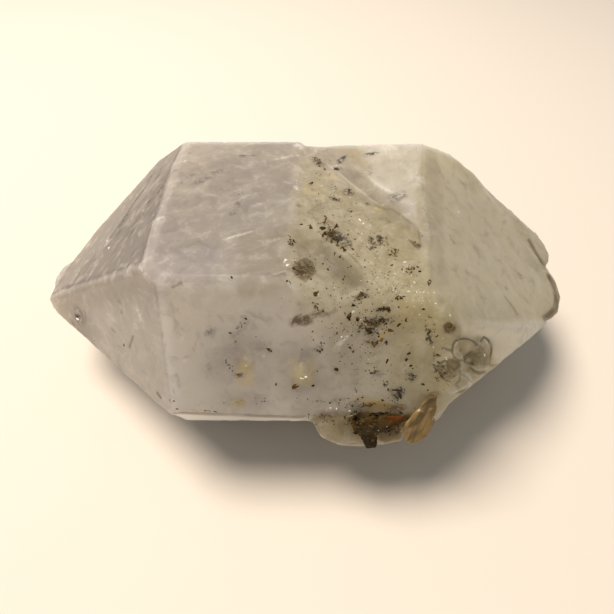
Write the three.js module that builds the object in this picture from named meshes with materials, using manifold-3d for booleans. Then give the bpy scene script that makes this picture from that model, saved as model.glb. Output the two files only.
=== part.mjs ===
// A large doubly terminated quartz crystal, milky and flat-faced, grown together with a second
// crystal that is turned a few degrees against it. A small clear crystal has grown on the lower
// front edge, with an iron-stained crystal and a plug of clay beside it.
//
// Millimetres, +Z up, the long axis of the first crystal along X, front towards -Y.
// The crystal lies on one prism face, on z = 0.

import * as THREE from "three";
import { ConvexGeometry } from "three/addons/geometries/ConvexGeometry.js";
import { mergeVertices } from "three/addons/utils/BufferGeometryUtils.js";
import Module from "manifold-3d";

const wasm = await Module();
wasm.setup();

// ---------------------------------------------------------------- driving dimensions

const AXIS_HEIGHT = 18.9; // of the first crystal's long axis above the surface it lies on
const PRISM = 90; // lean of a prism face's normal from the long axis, degrees
const RHOMB = 51.8; // lean of a pyramid (rhombohedral) face's normal from the long axis
const GAP = 0.3; // between the crystals and what lies against them

// A crystal's faces. turn: of the face's normal round the axis, from straight up towards the
// front, degrees. lean: of the normal from the axis end, degrees. reach: from the centre, mm.
// A bevel runs through two points of a face, given as [along, across] mm from the middle of
// that face. It dips by some degrees on the right of the line, seen from outside.
const FIRST = {
  centre: [0, 0, AXIS_HEIGHT],
  end: -1, // its termination points to -X
  yaw: 0,
  pitch: 0,
  roll: 0,
  faces: {
    top: { turn: 0, lean: PRISM, reach: AXIS_HEIGHT },
    wedgeBelowTop: { turn: 2.8, lean: 91.1, reach: 19.1 },
    front: { turn: 60, lean: PRISM, reach: 23.7 },
    lowerEdge: { turn: 100, lean: 88.6, reach: 26.5 },
    lowerFront: { turn: 120, lean: PRISM, reach: 24.3 },
    resting: { turn: 180, lean: PRISM, reach: AXIS_HEIGHT },
    lowerBack: { turn: 240, lean: PRISM, reach: 22.5 },
    upperBack: { turn: 300, lean: PRISM, reach: 23.4 },
    topPyramid: { turn: 0, lean: RHOMB, reach: 28.5 },
    frontPyramid: { turn: 60, lean: RHOMB, reach: 30.7 },
    lowerFrontPyramid: { turn: 118.1, lean: 55.4, reach: 31.1 },
    lowerPyramid: { turn: 180, lean: RHOMB, reach: 31.6 },
    lowerBackPyramid: { turn: 240, lean: RHOMB, reach: 33 },
    upperBackPyramid: { turn: 298.8, lean: 48.9, reach: 36 },
  },
  bevels: [
    { face: "topPyramid", from: [-2, -11.2], to: [-32.5, 3.6], dip: 4 },
    { face: "front", from: [18, 14], to: [20.8, 10.8], dip: 45 },
  ],
};

const SECOND = {
  centre: [15, 0, AXIS_HEIGHT],
  end: 1, // its termination points to +X
  yaw: -6.9,
  pitch: -4.9,
  roll: 6.2,
  faces: {
    top: { turn: -0.6, lean: 90.6, reach: 18.5 },
    front: { turn: 60, lean: PRISM, reach: 22.4 },
    lowerFront: { turn: 120, lean: PRISM, reach: 21.4 },
    lower: { turn: 180, lean: PRISM, reach: 15.4 },
    lowerBack: { turn: 240, lean: PRISM, reach: 21 },
    upperBack: { turn: 300.1, lean: 91.1, reach: 22.9 },
    topPyramid: { turn: 0.4, lean: 51, reach: 17 },
    frontPyramid: { turn: 59.7, lean: 52.6, reach: 22.6 },
    lowerFrontPyramid: { turn: 120.1, lean: 51.6, reach: 21.6 },
    lowerPyramid: { turn: 180, lean: RHOMB, reach: 25 },
    lowerBackPyramid: { turn: 240, lean: RHOMB, reach: 30 },
    upperBackPyramid: { turn: 301.8, lean: 63, reach: 25.2 },
  },
  bevels: [
    { face: "topPyramid", from: [22.1, -6], to: [6.9, -16.8], dip: 20 },
    { face: "topPyramid", from: [25.6, 0.9], to: [24.2, -6], dip: 16 },
    { face: "topPyramid", from: [20, 8.3], to: [25.6, 0.9], dip: 32 },
    { face: "top", from: [-0.6, -0.6], to: [4.2, -1.7], dip: 3 },
  ],
};

const FIRST_END = 21.2; // x where the first crystal ends, inside the second
const SECOND_START = 2; // x of the second crystal's buried end, to the left of the middle

// Low forms lie on a face of a crystal. A point on a face is [along, across] mm from its middle.

// The second crystal's top face ends in a low wall above the rough contact.
const WALL_OUTLINE = [[-21, -18], [-13.6, -14.4], [-0.7, -0.6], [4, 4.8], [4.2, 15.5], [-16, 24], [-26, 10]];
const WALL_DEPTH = 3;
const WALL_FLARE = 1.5; // of its foot

// The rough contact on the first crystal's top face.
const CONTACT = { along: [-5, 24], across: [-21, 21], pitch: 1.2 };
const CONTACT_RIM = -1.3; // where the smooth top face ends
const CONTACT_BITE = 1.2; // how much farther the rough floor reaches near the front
const CONTACT_DROP = 0.25; // at the rim
const CONTACT_SLOPE = 7; // degrees that its floor falls towards +X
const LEDGE_WIDTH = 4; // of the broken steps in the floor
const BACK_DIP = 0.9; // extra depth where the floor runs out over the back edge
const BUMP_HEIGHT = 0.22;

// A shell-shaped hollow in the rough floor, smooth, below a curved lip.
const HOLLOW = { lip: [4.3, 11.1], lipTurn: 50, width: 9.4, reach: 7.5, depth: 2.1 };
const SMALL_PIT = { at: [4.6, 8.6], radius: 1.3, depth: 0.7 };

// The front face is eaten away in shallow patches between these limits.
const FRONT_PATCHES = { along: [-4, 25], across: [-13, 8], pitch: 1.5 };
const PATCH_DEPTH = 0.42;

// A thin plate grown along the back of the second crystal's pyramid, past its tip, with a
// narrow groove between the two.
const BACK_PLATE = [
  [6.9, -17.4], [12.5, -16.5], [18.2, -15.3], [24.2, -14.2], [26.4, -12.4], [26.9, -9.6], [24.4, -6], [22.2, -6.6],
  [15.1, -13],
];
const BACK_PLATE_BELOW = 0.3; // its face under the pyramid's
const BACK_PLATE_DEPTH = 5;
const GROOVE = [[17.6, -11.6], [19.4, -10.4], [23.6, -5.4], [23, -5.2], [19, -9.6]];
const GROOVE_DEPTH = 0.9;

// Crescent ledges at the two tips: each falls from its inner to its outer line.
const TIP_LEDGES = [
  {
    crystal: SECOND,
    face: "topPyramid",
    inner: [[22.2, -4.4], [25.1, -2.7], [25, -0.4], [25, 1.8], [22.8, 4.6], [20.4, 6.6]],
    outer: [[24.3, -5.3], [26.4, -4], [27.8, -2.4], [27.1, 0.8], [26, 3.2], [23.2, 5.6]],
    fall: 0.6,
    depth: 3.2,
  },
  {
    crystal: FIRST,
    face: "topPyramid",
    inner: [[-36.4, -5.4], [-38.3, -2.6], [-38, -0.4]],
    outer: [[-38.4, -5], [-40.7, -3.3], [-39.3, -1]],
    fall: 0.4,
    depth: 1.4,
  },
];

// Thin round plates of late quartz, clustered where the front faces of the two crystals meet.
const PLATE_SIDES = 9;
const PLATE_HEIGHT = 0.5;
const PLATES = [
  { crystal: SECOND, face: "frontPyramid", at: [-4, 1.3], radius: 2.3 },
  { crystal: SECOND, face: "frontPyramid", at: [0.1, 2.9], radius: 1.9 },
  { crystal: SECOND, face: "frontPyramid", at: [-0.4, 6.1], radius: 1.5 },
  { crystal: FIRST, face: "front", at: [21.9, 7.4], radius: 1.8 },
  { crystal: FIRST, face: "front", at: [20.2, 4.6], radius: 2.1 },
];

// Pits and low swellings on the faces; a negative height is a pit.
const SPOT_SIDES = 8;
const SPOTS = [
  { crystal: FIRST, face: "frontPyramid", at: [-25.8, 3.6], radius: 1, height: -0.6 },
  { crystal: FIRST, face: "front", at: [-8.8, 4.6], radius: 2.2, height: -0.6 },
  { crystal: FIRST, face: "front", at: [-9.6, 10.9], radius: 0.9, height: -0.4 },
  { crystal: FIRST, face: "front", at: [-0.5, 6], radius: 2.2, height: 0.6 },
  { crystal: FIRST, face: "lowerBack", at: [-13, 5], radius: 2.6, height: -0.6 },
  { crystal: FIRST, face: "upperBack", at: [-16, 4], radius: 2, height: -0.5 },
];

// Growth terraces, thin plates with straight sides, on the faces turned away from the front.
const TERRACE_HEIGHT = 0.4;
const TERRACES = [
  { crystal: FIRST, face: "upperBack", outline: [[-12, -7], [-2, -9.5], [5, -4], [2, 6], [-9, 7]] },
  { crystal: FIRST, face: "lowerBack", outline: [[-6, -8], [9, -6], [12, 2], [3, 8], [-7, 4]] },
  { crystal: FIRST, face: "lowerBackPyramid", outline: [[-25, -1], [-13, -5], [-9, 4], [-20, 7]] },
  { crystal: FIRST, face: "lowerFront", outline: [[-16, -5], [-6, -7], [-2, 2], [-12, 6]] },
  { crystal: SECOND, face: "lowerBack", outline: [[4, -4], [15, -3], [16, 5], [7, 9], [1, 4]] },
];

// Corners of the small clear crystal on the lower front edge.
const SMALL_CRYSTAL = [
  [0.2, -26.4, 19.8], [1.6, -28.9, 17.2], [4.8, -30.1, 15.6], [9.6, -30.3, 15.4], [14.4, -29.6, 16.2],
  [3, -27.4, 20.6], [8, -27.6, 20.8], [13.6, -27.4, 20.6], [2.4, -26.6, 10.2], [9, -27, 9.4], [14.6, -26.4, 10.4],
  [0.8, -23, 15], [3, -21.5, 12], [13, -21.5, 12], [14.8, -23, 17],
];

// Corners of the iron-stained crystal that leans on it.
const STAINED_CRYSTAL = [
  [18.7, -25.6, 23.3], [17.4, -26, 23.6], [19, -26.8, 20.8], [19, -27.8, 18.4], [18.2, -29, 16.2],
  [16.8, -29.6, 15.2], [15.6, -29.9, 15.3], [15, -29.4, 16.2], [13.2, -29.4, 17.8], [14.6, -28, 19.8],
  [15.8, -27.2, 21.4], [18.4, -25, 13.8], [15.5, -25.3, 13], [19, -24.6, 17.2],
];

// The clay lies in a cleft of the small crystal and runs down over it.
const CLAY_BODY = [
  [6.2, -28.4, 19.9], [6.8, -29.3, 18.7], [10.2, -29.6, 18.5], [13.8, -28.6, 19.8], [14.2, -27.7, 21.1],
  [10, -27.6, 21], [7, -27.4, 18], [13.4, -27.4, 18],
];
const CLAY_TAIL = [
  [7.4, -29.4, 18.8], [10.4, -29.6, 18.8], [10.4, -30.7, 15.6], [8.8, -30.7, 15.4], [9.4, -30.2, 14.4],
  [10.6, -30.2, 14.8], [8.2, -28.4, 17], [10.2, -28.4, 17],
];

// ---------------------------------------------------------------- geometry helpers

const radians = THREE.MathUtils.degToRad;
const { smoothstep } = THREE.MathUtils;
const vector = (p) => new THREE.Vector3(...p);

function crystalFrame(crystal) {
  const frame = new THREE.Matrix4().makeRotationZ(radians(crystal.yaw));
  frame.multiply(new THREE.Matrix4().makeRotationY(radians(crystal.pitch)));
  return frame.multiply(new THREE.Matrix4().makeRotationX(radians(crystal.roll)));
}

// One face as a plane with two directions in it: along the crystal's axis and across it.
function facePlane(crystal, name) {
  const face = crystal.faces[name];
  const turn = radians(face.turn);
  const lean = radians(face.lean);
  const radial = vector([0, -Math.sin(turn), Math.cos(turn)]).multiplyScalar(Math.sin(lean));
  const frame = crystalFrame(crystal);
  const axis = vector([1, 0, 0]).transformDirection(frame);
  const normal = radial.setX(Math.cos(lean) * crystal.end).transformDirection(frame);
  const across = new THREE.Vector3().crossVectors(axis, normal).normalize();
  const along = new THREE.Vector3().crossVectors(normal, across);
  const middle = vector(crystal.centre).addScaledVector(normal, face.reach);
  return { normal, offset: normal.dot(middle), along, across, middle };
}

// A point of a face, some mm above it.
const onFace = (plane, [s, t], height = 0) =>
  plane.middle
    .clone()
    .addScaledVector(plane.along, s)
    .addScaledVector(plane.across, t)
    .addScaledVector(plane.normal, height);

function bevelPlane(crystal, { face, from, to, dip }) {
  const plane = facePlane(crystal, face);
  const start = onFace(plane, from);
  const line = onFace(plane, to).sub(start).normalize();
  const normal = plane.normal.clone().applyAxisAngle(line, radians(dip));
  return { normal, offset: normal.dot(start) };
}

function crystalPlanes(crystal) {
  const faces = Object.keys(crystal.faces).map((name) => facePlane(crystal, name));
  return faces.concat(crystal.bevels.map((bevel) => bevelPlane(crystal, bevel)));
}

// A closed three.js geometry as a manifold solid, and back.
function toSolid(geometry) {
  geometry.deleteAttribute("normal");
  geometry.deleteAttribute("uv");
  const merged = mergeVertices(geometry, 1e-4);
  const triVerts = new Uint32Array(merged.index.array);
  const vertProperties = merged.attributes.position.array;
  return new wasm.Manifold(new wasm.Mesh({ numProp: 3, vertProperties, triVerts }));
}

function toGeometry(solid) {
  const mesh = solid.getMesh();
  const geometry = new THREE.BufferGeometry();
  geometry.setAttribute("position", new THREE.BufferAttribute(mesh.vertProperties, 3));
  return geometry.setIndex(new THREE.BufferAttribute(mesh.triVerts, 1));
}

const hull = (points) => toSolid(new ConvexGeometry(points));

// The convex solid inside every plane of a list.
function solidInside(planes) {
  const corners = [];
  const inside = (p) => planes.every((f) => f.normal.dot(p) <= f.offset + 1e-6);
  const cornerOf = (a, b, c) => {
    const bc = new THREE.Vector3().crossVectors(b.normal, c.normal);
    const ca = new THREE.Vector3().crossVectors(c.normal, a.normal);
    const ab = new THREE.Vector3().crossVectors(a.normal, b.normal);
    const det = a.normal.dot(bc);
    if (Math.abs(det) < 1e-4) return;
    const p = bc.multiplyScalar(a.offset).addScaledVector(ca, b.offset);
    p.addScaledVector(ab, c.offset).divideScalar(det);
    if (inside(p) && corners.every((q) => q.distanceTo(p) > 1e-3)) corners.push(p);
  };
  for (let i = 0; i < planes.length; i++) {
    for (let j = i + 1; j < planes.length; j++) {
      for (let k = j + 1; k < planes.length; k++) cornerOf(planes[i], planes[j], planes[k]);
    }
  }
  return hull(corners);
}

// A tapered block on a face, from one height to another, its outline grown by `flare` at the
// second height. Sunk forms are cut with it and raised forms are joined with it.
function block(plane, outline, low, high, flare) {
  const sum = outline.reduce(([a, b], [s, t]) => [a + s, b + t], [0, 0]);
  const centre = sum.map((total) => total / outline.length);
  const grown = outline.map(([s, t]) => {
    const out = new THREE.Vector2(s - centre[0], t - centre[1]);
    out.setLength(out.length() + flare);
    return [centre[0] + out.x, centre[1] + out.y];
  });
  const points = outline.map((p) => onFace(plane, p, low));
  return hull(points.concat(grown.map((p) => onFace(plane, p, high))));
}

// An outline of n points about a middle, uneven by a fixed rule so that no two are alike.
function unevenRound([s, t], radius, sides) {
  return Array.from({ length: sides }, (_, i) => {
    const angle = (2 * Math.PI * i) / sides;
    const r = radius * (1 + 0.14 * Math.sin(2 * angle + s) + 0.1 * Math.sin(3 * angle + t));
    return [s + r * Math.cos(angle), t + r * Math.sin(angle)];
  });
}

// Uneven ground between -1 and 1: three waves that run different ways.
function uneven(s, t, spacing) {
  const k = (2 * Math.PI) / spacing;
  const wave = (a, b, phase) => Math.sin(k * (a * s + b * t) + phase);
  return (wave(0.9, 0.4, 1) + wave(-0.5, 0.8, 2.6) + wave(0.2, -1, 4.1)) / 3;
}

// A slab over a face whose underside follows a height rule. Cutting with it gives the face
// that relief wherever the rule is below zero. Its grid is shaken so that no rows show.
const SLAB_TOP = 6;
function reliefSlab(plane, { along, across, pitch }, heightAt) {
  const length = along[1] - along[0];
  const width = across[1] - across[0];
  const rows = Math.round(length / pitch);
  const columns = Math.round(width / pitch);
  const slab = new THREE.BoxGeometry(width, length, 1, columns, rows, 1);
  const position = slab.attributes.position;
  for (let i = 0; i < position.count; i++) {
    const s0 = position.getY(i) + along[0] + length / 2;
    const t0 = position.getX(i) + across[0] + width / 2;
    const s = s0 + 0.45 * pitch * uneven(s0, t0, 2.7 * pitch);
    const t = t0 + 0.45 * pitch * uneven(t0, s0, 2.3 * pitch);
    position.setXYZ(i, t, s, position.getZ(i) > 0 ? SLAB_TOP : heightAt(s, t));
  }
  const frame = new THREE.Matrix4().makeBasis(plane.across, plane.along, plane.normal);
  return toSolid(slab.applyMatrix4(frame.setPosition(plane.middle)));
}

// ---------------------------------------------------------------- relief rules

// Depth of the shell-shaped hollow: steep under its lip, then rising gently away from it.
function hollowDepth(s, t) {
  const turn = radians(HOLLOW.lipTurn);
  const ds = s - HOLLOW.lip[0];
  const dt = t - HOLLOW.lip[1];
  const beside = Math.cos(turn) * ds + Math.sin(turn) * dt;
  const below = -Math.sin(turn) * ds + Math.cos(turn) * dt;
  const sides = 1 - smoothstep(Math.abs(beside), 0.45 * HOLLOW.width, 0.75 * HOLLOW.width);
  const profile = smoothstep(below, -0.6, 0.8) * (1 - smoothstep(below, 0.8, HOLLOW.reach));
  return HOLLOW.depth * sides * profile;
}

function contactHeight(s, t) {
  const into = s - CONTACT_RIM + CONTACT_BITE * smoothstep(t, 4, 9);
  if (into <= 0) return 0.5;
  const ledges = Math.floor((into + 0.8 * uneven(s, t, 11)) / LEDGE_WIDTH) * LEDGE_WIDTH;
  const floor = -Math.tan(radians(CONTACT_SLOPE)) * 0.5 * (into + ledges);
  const hollow = hollowDepth(s, t);
  const bumps = BUMP_HEIGHT * (uneven(s, t, 4.1) + 0.6 * uneven(t, s, 2.6));
  const rough = 1 - smoothstep(hollow, 0.05, 0.4);
  const fromPit = Math.hypot(s - SMALL_PIT.at[0], t - SMALL_PIT.at[1]);
  const pit = SMALL_PIT.depth * (1 - smoothstep(fromPit, 0.3, SMALL_PIT.radius));
  return floor - CONTACT_DROP + bumps * rough - hollow - pit - BACK_DIP * smoothstep(-t, 11, 15);
}

function patchHeight(s, t) {
  const window = smoothstep(s, -3, 2) * (1 - smoothstep(s, 21, 24)) * (1 - smoothstep(t, 1, 6));
  const depth = PATCH_DEPTH * (0.55 + 0.45 * uneven(s, t, 4.5)) + 0.12 * uneven(t, s, 2.1);
  return 0.1 - window * depth;
}

// ---------------------------------------------------------------- the two crystals

function firstCrystal() {
  const underSecond = facePlane(SECOND, "topPyramid");
  underSecond.offset -= GAP;
  const end = { normal: vector([1, 0, 0]), offset: FIRST_END };
  return solidInside([...crystalPlanes(FIRST), underSecond, end])
    .subtract(reliefSlab(facePlane(FIRST, "top"), CONTACT, contactHeight))
    .subtract(reliefSlab(facePlane(FIRST, "front"), FRONT_PATCHES, patchHeight));
}

function secondCrystal() {
  const start = { normal: vector([-1, 0, 0]), offset: SECOND_START };
  const pyramid = facePlane(SECOND, "topPyramid");
  const plateLow = -BACK_PLATE_BELOW - BACK_PLATE_DEPTH;
  return solidInside([...crystalPlanes(SECOND), start])
    .subtract(block(facePlane(SECOND, "top"), WALL_OUTLINE, -WALL_DEPTH, 2, WALL_FLARE))
    .add(block(pyramid, BACK_PLATE, plateLow, -BACK_PLATE_BELOW, 0))
    .subtract(block(pyramid, GROOVE, -GROOVE_DEPTH, 0.5, 0.4));
}

// ---------------------------------------------------------------- forms on the faces

// A ledge between an inner and an outer line, one convex piece for each pair of their points.
function ledgeSolid({ crystal, face, inner, outer, fall, depth }) {
  const plane = facePlane(crystal, face);
  const pieces = inner.slice(1).map((_, i) => {
    const inside = [inner[i], inner[i + 1]];
    const outside = [outer[i], outer[i + 1]];
    const points = inside.flatMap((p) => [onFace(plane, p, 0.05), onFace(plane, p, -depth)]);
    return hull(points.concat(outside.flatMap((p) => [onFace(plane, p, -fall), onFace(plane, p, -depth)])));
  });
  return pieces.reduce((sum, piece) => sum.add(piece));
}

const plateSolid = ({ crystal, face, at, radius }) =>
  block(facePlane(crystal, face), unevenRound(at, radius, PLATE_SIDES), -1, PLATE_HEIGHT, -0.15);

const terraceSolid = ({ crystal, face, outline }) =>
  block(facePlane(crystal, face), outline, -1, TERRACE_HEIGHT, -0.3);

function withSpot(solid, { crystal, face, at, radius, height }) {
  const plane = facePlane(crystal, face);
  if (height > 0) {
    return solid.add(block(plane, unevenRound(at, radius, SPOT_SIDES), -1, height, -0.4 * radius));
  }
  return solid.subtract(block(plane, unevenRound(at, 0.6 * radius, SPOT_SIDES), height, 0.2, 0.4 * radius));
}

// A solid with room around it: its copies moved by `gap` along the axes and the diagonals.
function withRoom(solid, gap) {
  const steps = [-1, 0, 1];
  const moves = steps.flatMap((x) => steps.flatMap((y) => steps.map((z) => vector([x, y, z]))));
  const kept = moves.filter((move) => move.lengthSq() === 1 || move.lengthSq() === 3);
  return kept.reduce((sum, move) => {
    move.setLength(gap);
    return sum.add(solid.translate(move.x, move.y, move.z));
  }, solid);
}

// ---------------------------------------------------------------- the pieces

const clay = hull(CLAY_BODY.map(vector)).add(hull(CLAY_TAIL.map(vector)));

let pair = firstCrystal().add(secondCrystal());
for (const ledge of TIP_LEDGES) pair = pair.add(ledgeSolid(ledge));
for (const terrace of TERRACES) pair = pair.add(terraceSolid(terrace));
for (const plate of PLATES) pair = pair.add(plateSolid(plate));
for (const spot of SPOTS) pair = withSpot(pair, spot);
pair = pair.add(hull(SMALL_CRYSTAL.map(vector))).subtract(withRoom(clay, GAP));

const stained = hull(STAINED_CRYSTAL.map(vector))
  .subtract(withRoom(pair, GAP))
  .subtract(withRoom(clay, GAP));

// ---------------------------------------------------------------- scene graph

const quartz = new THREE.MeshStandardMaterial({ color: 0xb7aea2, roughness: 0.22, metalness: 0 });
const stainedQuartz = new THREE.MeshStandardMaterial({ color: 0xa07c48, roughness: 0.4, metalness: 0 });
const driedClay = new THREE.MeshStandardMaterial({ color: 0x5a4e3c, roughness: 0.9, metalness: 0 });

const specimen = new THREE.Group();
const place = (name, solid, material) => {
  const mesh = new THREE.Mesh(toGeometry(solid), material);
  mesh.name = name;
  specimen.add(mesh);
};
place("crystal_pair", pair, quartz);
place("stained_crystal", stained, stainedQuartz);
place("clay_fill", clay, driedClay);

// The part's origin is the middle of its footprint, on the surface it lies on.
const middle = new THREE.Box3().setFromObject(specimen).getCenter(new THREE.Vector3());
specimen.position.set(-middle.x, -middle.y, 0);

const herkimer = new THREE.Group();
herkimer.add(specimen);

export default herkimer;
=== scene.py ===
# %% [markdown]
# # A milky herkimer diamond
# A herkimer diamond is a quartz crystal with a point at each end. This one is large and milky,
# and a second crystal has grown into its side. The solids come ready made, at their real size,
# and this script gives them their finish: cloudy quartz, a sandy crust, grains, stains and
# thin plates of late quartz. Each cell does one thing and prints what it made.

# %% Load the solids
import math
import random

import bmesh
import bpy
import numpy as np
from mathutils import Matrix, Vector, noise
from mathutils.bvhtree import BVHTree
from mathutils.kdtree import KDTree


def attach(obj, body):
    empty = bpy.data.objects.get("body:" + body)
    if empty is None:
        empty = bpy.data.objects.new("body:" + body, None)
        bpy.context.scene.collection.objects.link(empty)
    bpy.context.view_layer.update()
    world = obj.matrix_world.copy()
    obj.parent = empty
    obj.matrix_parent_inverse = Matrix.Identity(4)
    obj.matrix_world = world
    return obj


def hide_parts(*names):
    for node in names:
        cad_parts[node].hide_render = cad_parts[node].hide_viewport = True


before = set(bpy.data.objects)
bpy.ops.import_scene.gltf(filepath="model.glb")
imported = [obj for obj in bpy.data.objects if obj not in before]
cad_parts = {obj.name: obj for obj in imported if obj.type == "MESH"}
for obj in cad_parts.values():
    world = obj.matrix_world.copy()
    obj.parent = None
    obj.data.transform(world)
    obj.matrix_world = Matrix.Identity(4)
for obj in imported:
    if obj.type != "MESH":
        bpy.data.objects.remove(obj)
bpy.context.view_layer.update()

MM = 0.001
print("solids:", sorted(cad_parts))

# %% [markdown]
# ## Where the camera stands
# The crystal is looked at from the front and well above, from close by, so that its near edge
# looks larger than its far one. The lens is given by how many pixels one unit of tangent
# covers in a square frame of 614 pixels, because places on the crystal are named in it below.

# %% The camera
FRAME_PX = 614
FOCAL_PX = 450
EYE = Vector((0.478, -54.082, 81.5)) * MM
LOOK_DOWN = math.radians(51.5)

camera_data = bpy.data.cameras.new("camera")
camera_data.sensor_fit = "HORIZONTAL"
camera_data.sensor_width = 36
camera_data.lens = camera_data.sensor_width * FOCAL_PX / FRAME_PX
camera_data.clip_start = 2 * MM
camera = bpy.data.objects.new("camera", camera_data)
camera.location = EYE
camera.rotation_euler = (math.pi / 2 - LOOK_DOWN, 0, 0)
bpy.context.collection.objects.link(camera)
bpy.context.scene.camera = camera
print("lens", round(camera_data.lens, 2), "mm")

# %% [markdown]
# ## One way to name a colour and one way to add a node
# Colours are picked as sRGB hex values, and the shader works in linear light, so one function
# turns them round. Materials and Geometry Nodes trees are both built by one small helper.

# %% Helpers for colours and nodes


def linear(hex_colour):
    """An sRGB hex colour as the linear RGBA that a shader socket takes."""
    parts = [int(hex_colour[i : i + 2], 16) / 255 for i in (0, 2, 4)]
    return tuple(c / 12.92 if c <= 0.04045 else ((c + 0.055) / 1.055) ** 2.4 for c in parts) + (1.0,)


def add(tree, kind, inputs=(), **settings):
    """Adds a node. inputs maps a socket's name or number to a value or to another node's output."""
    node = tree.nodes.new(kind)
    for name, value in settings.items():
        setattr(node, name, value)
    for key, value in dict(inputs).items():
        if isinstance(value, bpy.types.NodeSocket):
            tree.links.new(value, node.inputs[key])
        else:
            node.inputs[key].default_value = value
    return node


def new_material(name):
    """An empty node material: its tree and its output node."""
    material = bpy.data.materials.new(name)
    material.use_nodes = True
    material.node_tree.nodes.clear()
    return material, material.node_tree, add(material.node_tree, "ShaderNodeOutputMaterial")


def layered(tree, base, layers):
    """A colour with tints laid over it, one after the other. A layer is (hex colour, driver,
    start, full, most): it comes in as the driver goes from start to full, up to a share of most."""
    colour = linear(base)
    for hex_colour, driver, start, full, most in layers:
        inputs = {"Value": driver, "From Min": start, "From Max": full, "To Max": most}
        share = add(tree, "ShaderNodeMapRange", inputs, interpolation_type="SMOOTHSTEP")
        inputs = {0: share.outputs[0], 6: colour, 7: linear(hex_colour)}
        colour = add(tree, "ShaderNodeMix", inputs, data_type="RGBA").outputs[2]
    return colour


# %% [markdown]
# ## The table and the light
# The crystal lies on matt cream card. One large soft lamp stands high up on the left and a
# little behind, so that the shadow falls below and to the right and has a wide soft edge. The
# rest of the room is a pale, slightly blue fill, which colours the shadow.

# %% The table
FLOOR_SIZE = 1.6
FLOOR_GAP = 0.02 * MM  # keeps the card clear of the face that lies on it

bpy.context.scene.view_settings.view_transform = "Standard"
floor_mesh = bpy.data.meshes.new("table_top")
half = FLOOR_SIZE / 2
corners = [(-half, -half, 0), (half, -half, 0), (half, half, 0), (-half, half, 0)]
floor_mesh.from_pydata(corners, [], [(0, 1, 2, 3)])
floor = bpy.data.objects.new("table_top", floor_mesh)
floor.location.z = -FLOOR_GAP
bpy.context.collection.objects.link(floor)
# uncoated card: no sheen, only an even soft light
cream, tree, out = new_material("cream_card")
card = add(tree, "ShaderNodeBsdfPrincipled", {"Base Color": linear("ece0cf"), "Roughness": 0.9})
tree.links.new(card.outputs[0], out.inputs["Surface"])
floor_mesh.materials.append(cream)
print("table", FLOOR_SIZE, "m square")

# %% The lamp and the room
LAMP_FROM = Vector((-0.18, 0.10, 0.53))
LAMP_SIZE = 0.27
LAMP_WATTS = 3.95
LAMP_COLOUR = "fff4ea"
ROOM_COLOUR = "dfe8f0"
ROOM_STRENGTH = 0.32

lamp_data = bpy.data.lights.new("window_light", "AREA")
lamp_data.shape = "DISK"
lamp_data.size = LAMP_SIZE
lamp_data.energy = LAMP_WATTS
lamp_data.color = linear(LAMP_COLOUR)[:3]
lamp = bpy.data.objects.new("window_light", lamp_data)
lamp.location = LAMP_FROM
lamp.rotation_euler = (-LAMP_FROM).to_track_quat("-Z", "Y").to_euler()
bpy.context.collection.objects.link(lamp)

world = bpy.data.worlds.new("room")
world.use_nodes = True
world.node_tree.nodes["Background"].inputs["Color"].default_value = linear(ROOM_COLOUR)
world.node_tree.nodes["Background"].inputs["Strength"].default_value = ROOM_STRENGTH
bpy.context.scene.world = world
print("lamp", [round(v, 3) for v in LAMP_FROM], "size", LAMP_SIZE)

# %% [markdown]
# ## The skin of the crystal pair
# The faceted solid has razor edges and huge triangles. A worn crystal has slightly soft edges,
# and marks need points to sit on. A voxel remesh gives an even net of small quads. Each point
# is then put back on the solid's own surface, so flat faces stay perfectly flat and only the
# edges turn soft. Hand bevels would have needed clean topology, which joined crystals lack.

# %% Remesh the pair and put it back on its faces
SKIN_STEP = 0.53 * MM  # fine enough for soft edges, and under 200,000 triangles in all
SAME_POINT = 1e-7  # m; points closer than this are one


def merged_copy(node_name):
    """A bmesh of a CAD node with its loose triangles joined."""
    bm = bmesh.new()
    bm.from_mesh(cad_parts[node_name].data)
    bmesh.ops.remove_doubles(bm, verts=bm.verts, dist=SAME_POINT)
    bmesh.ops.recalc_face_normals(bm, faces=bm.faces)
    return bm


def link_piece(name, mesh):
    piece = bpy.data.objects.new(name, mesh)
    bpy.context.collection.objects.link(piece)
    return piece


def evaluated_mesh(piece):
    """The plain mesh that an object's modifiers give."""
    depsgraph = bpy.context.evaluated_depsgraph_get()
    return bpy.data.meshes.new_from_object(piece.evaluated_get(depsgraph))


def remeshed(node_name, step):
    """An even quad net over a CAD node, each point on the node's own surface."""
    solid = merged_copy(node_name)
    mesh = bpy.data.meshes.new(node_name + "_coarse")
    solid.to_mesh(mesh)
    coarse = link_piece(node_name + "_coarse", mesh)
    net = coarse.modifiers.new("net", "REMESH")
    net.mode = "VOXEL"
    net.voxel_size = step
    result = evaluated_mesh(coarse)
    bpy.data.objects.remove(coarse)
    surface = BVHTree.FromBMesh(solid)
    solid.free()
    for vertex in result.vertices:
        vertex.co = surface.find_nearest(vertex.co)[0]
    return result


skin_mesh = remeshed("crystal_pair", SKIN_STEP)
print("skin:", len(skin_mesh.vertices), "points,", len(skin_mesh.polygons), "faces")

# %% [markdown]
# ## Naming places on the crystal
# A mark is named by the pixel of the square frame at which the camera sees it. A ray from the
# camera then finds the point of the crystal itself, so the mark sits on what carries it and is
# right from every side. The other way round, each point of the skin knows its pixel.

# %% Rays and pixels
FORWARD = Vector((0, math.cos(LOOK_DOWN), -math.sin(LOOK_DOWN)))
UPWARD = Vector((0, math.sin(LOOK_DOWN), math.cos(LOOK_DOWN)))
RIGHT = Vector((1, 0, 0))
LEFT_TIP = (62, 302)  # pixel


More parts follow.
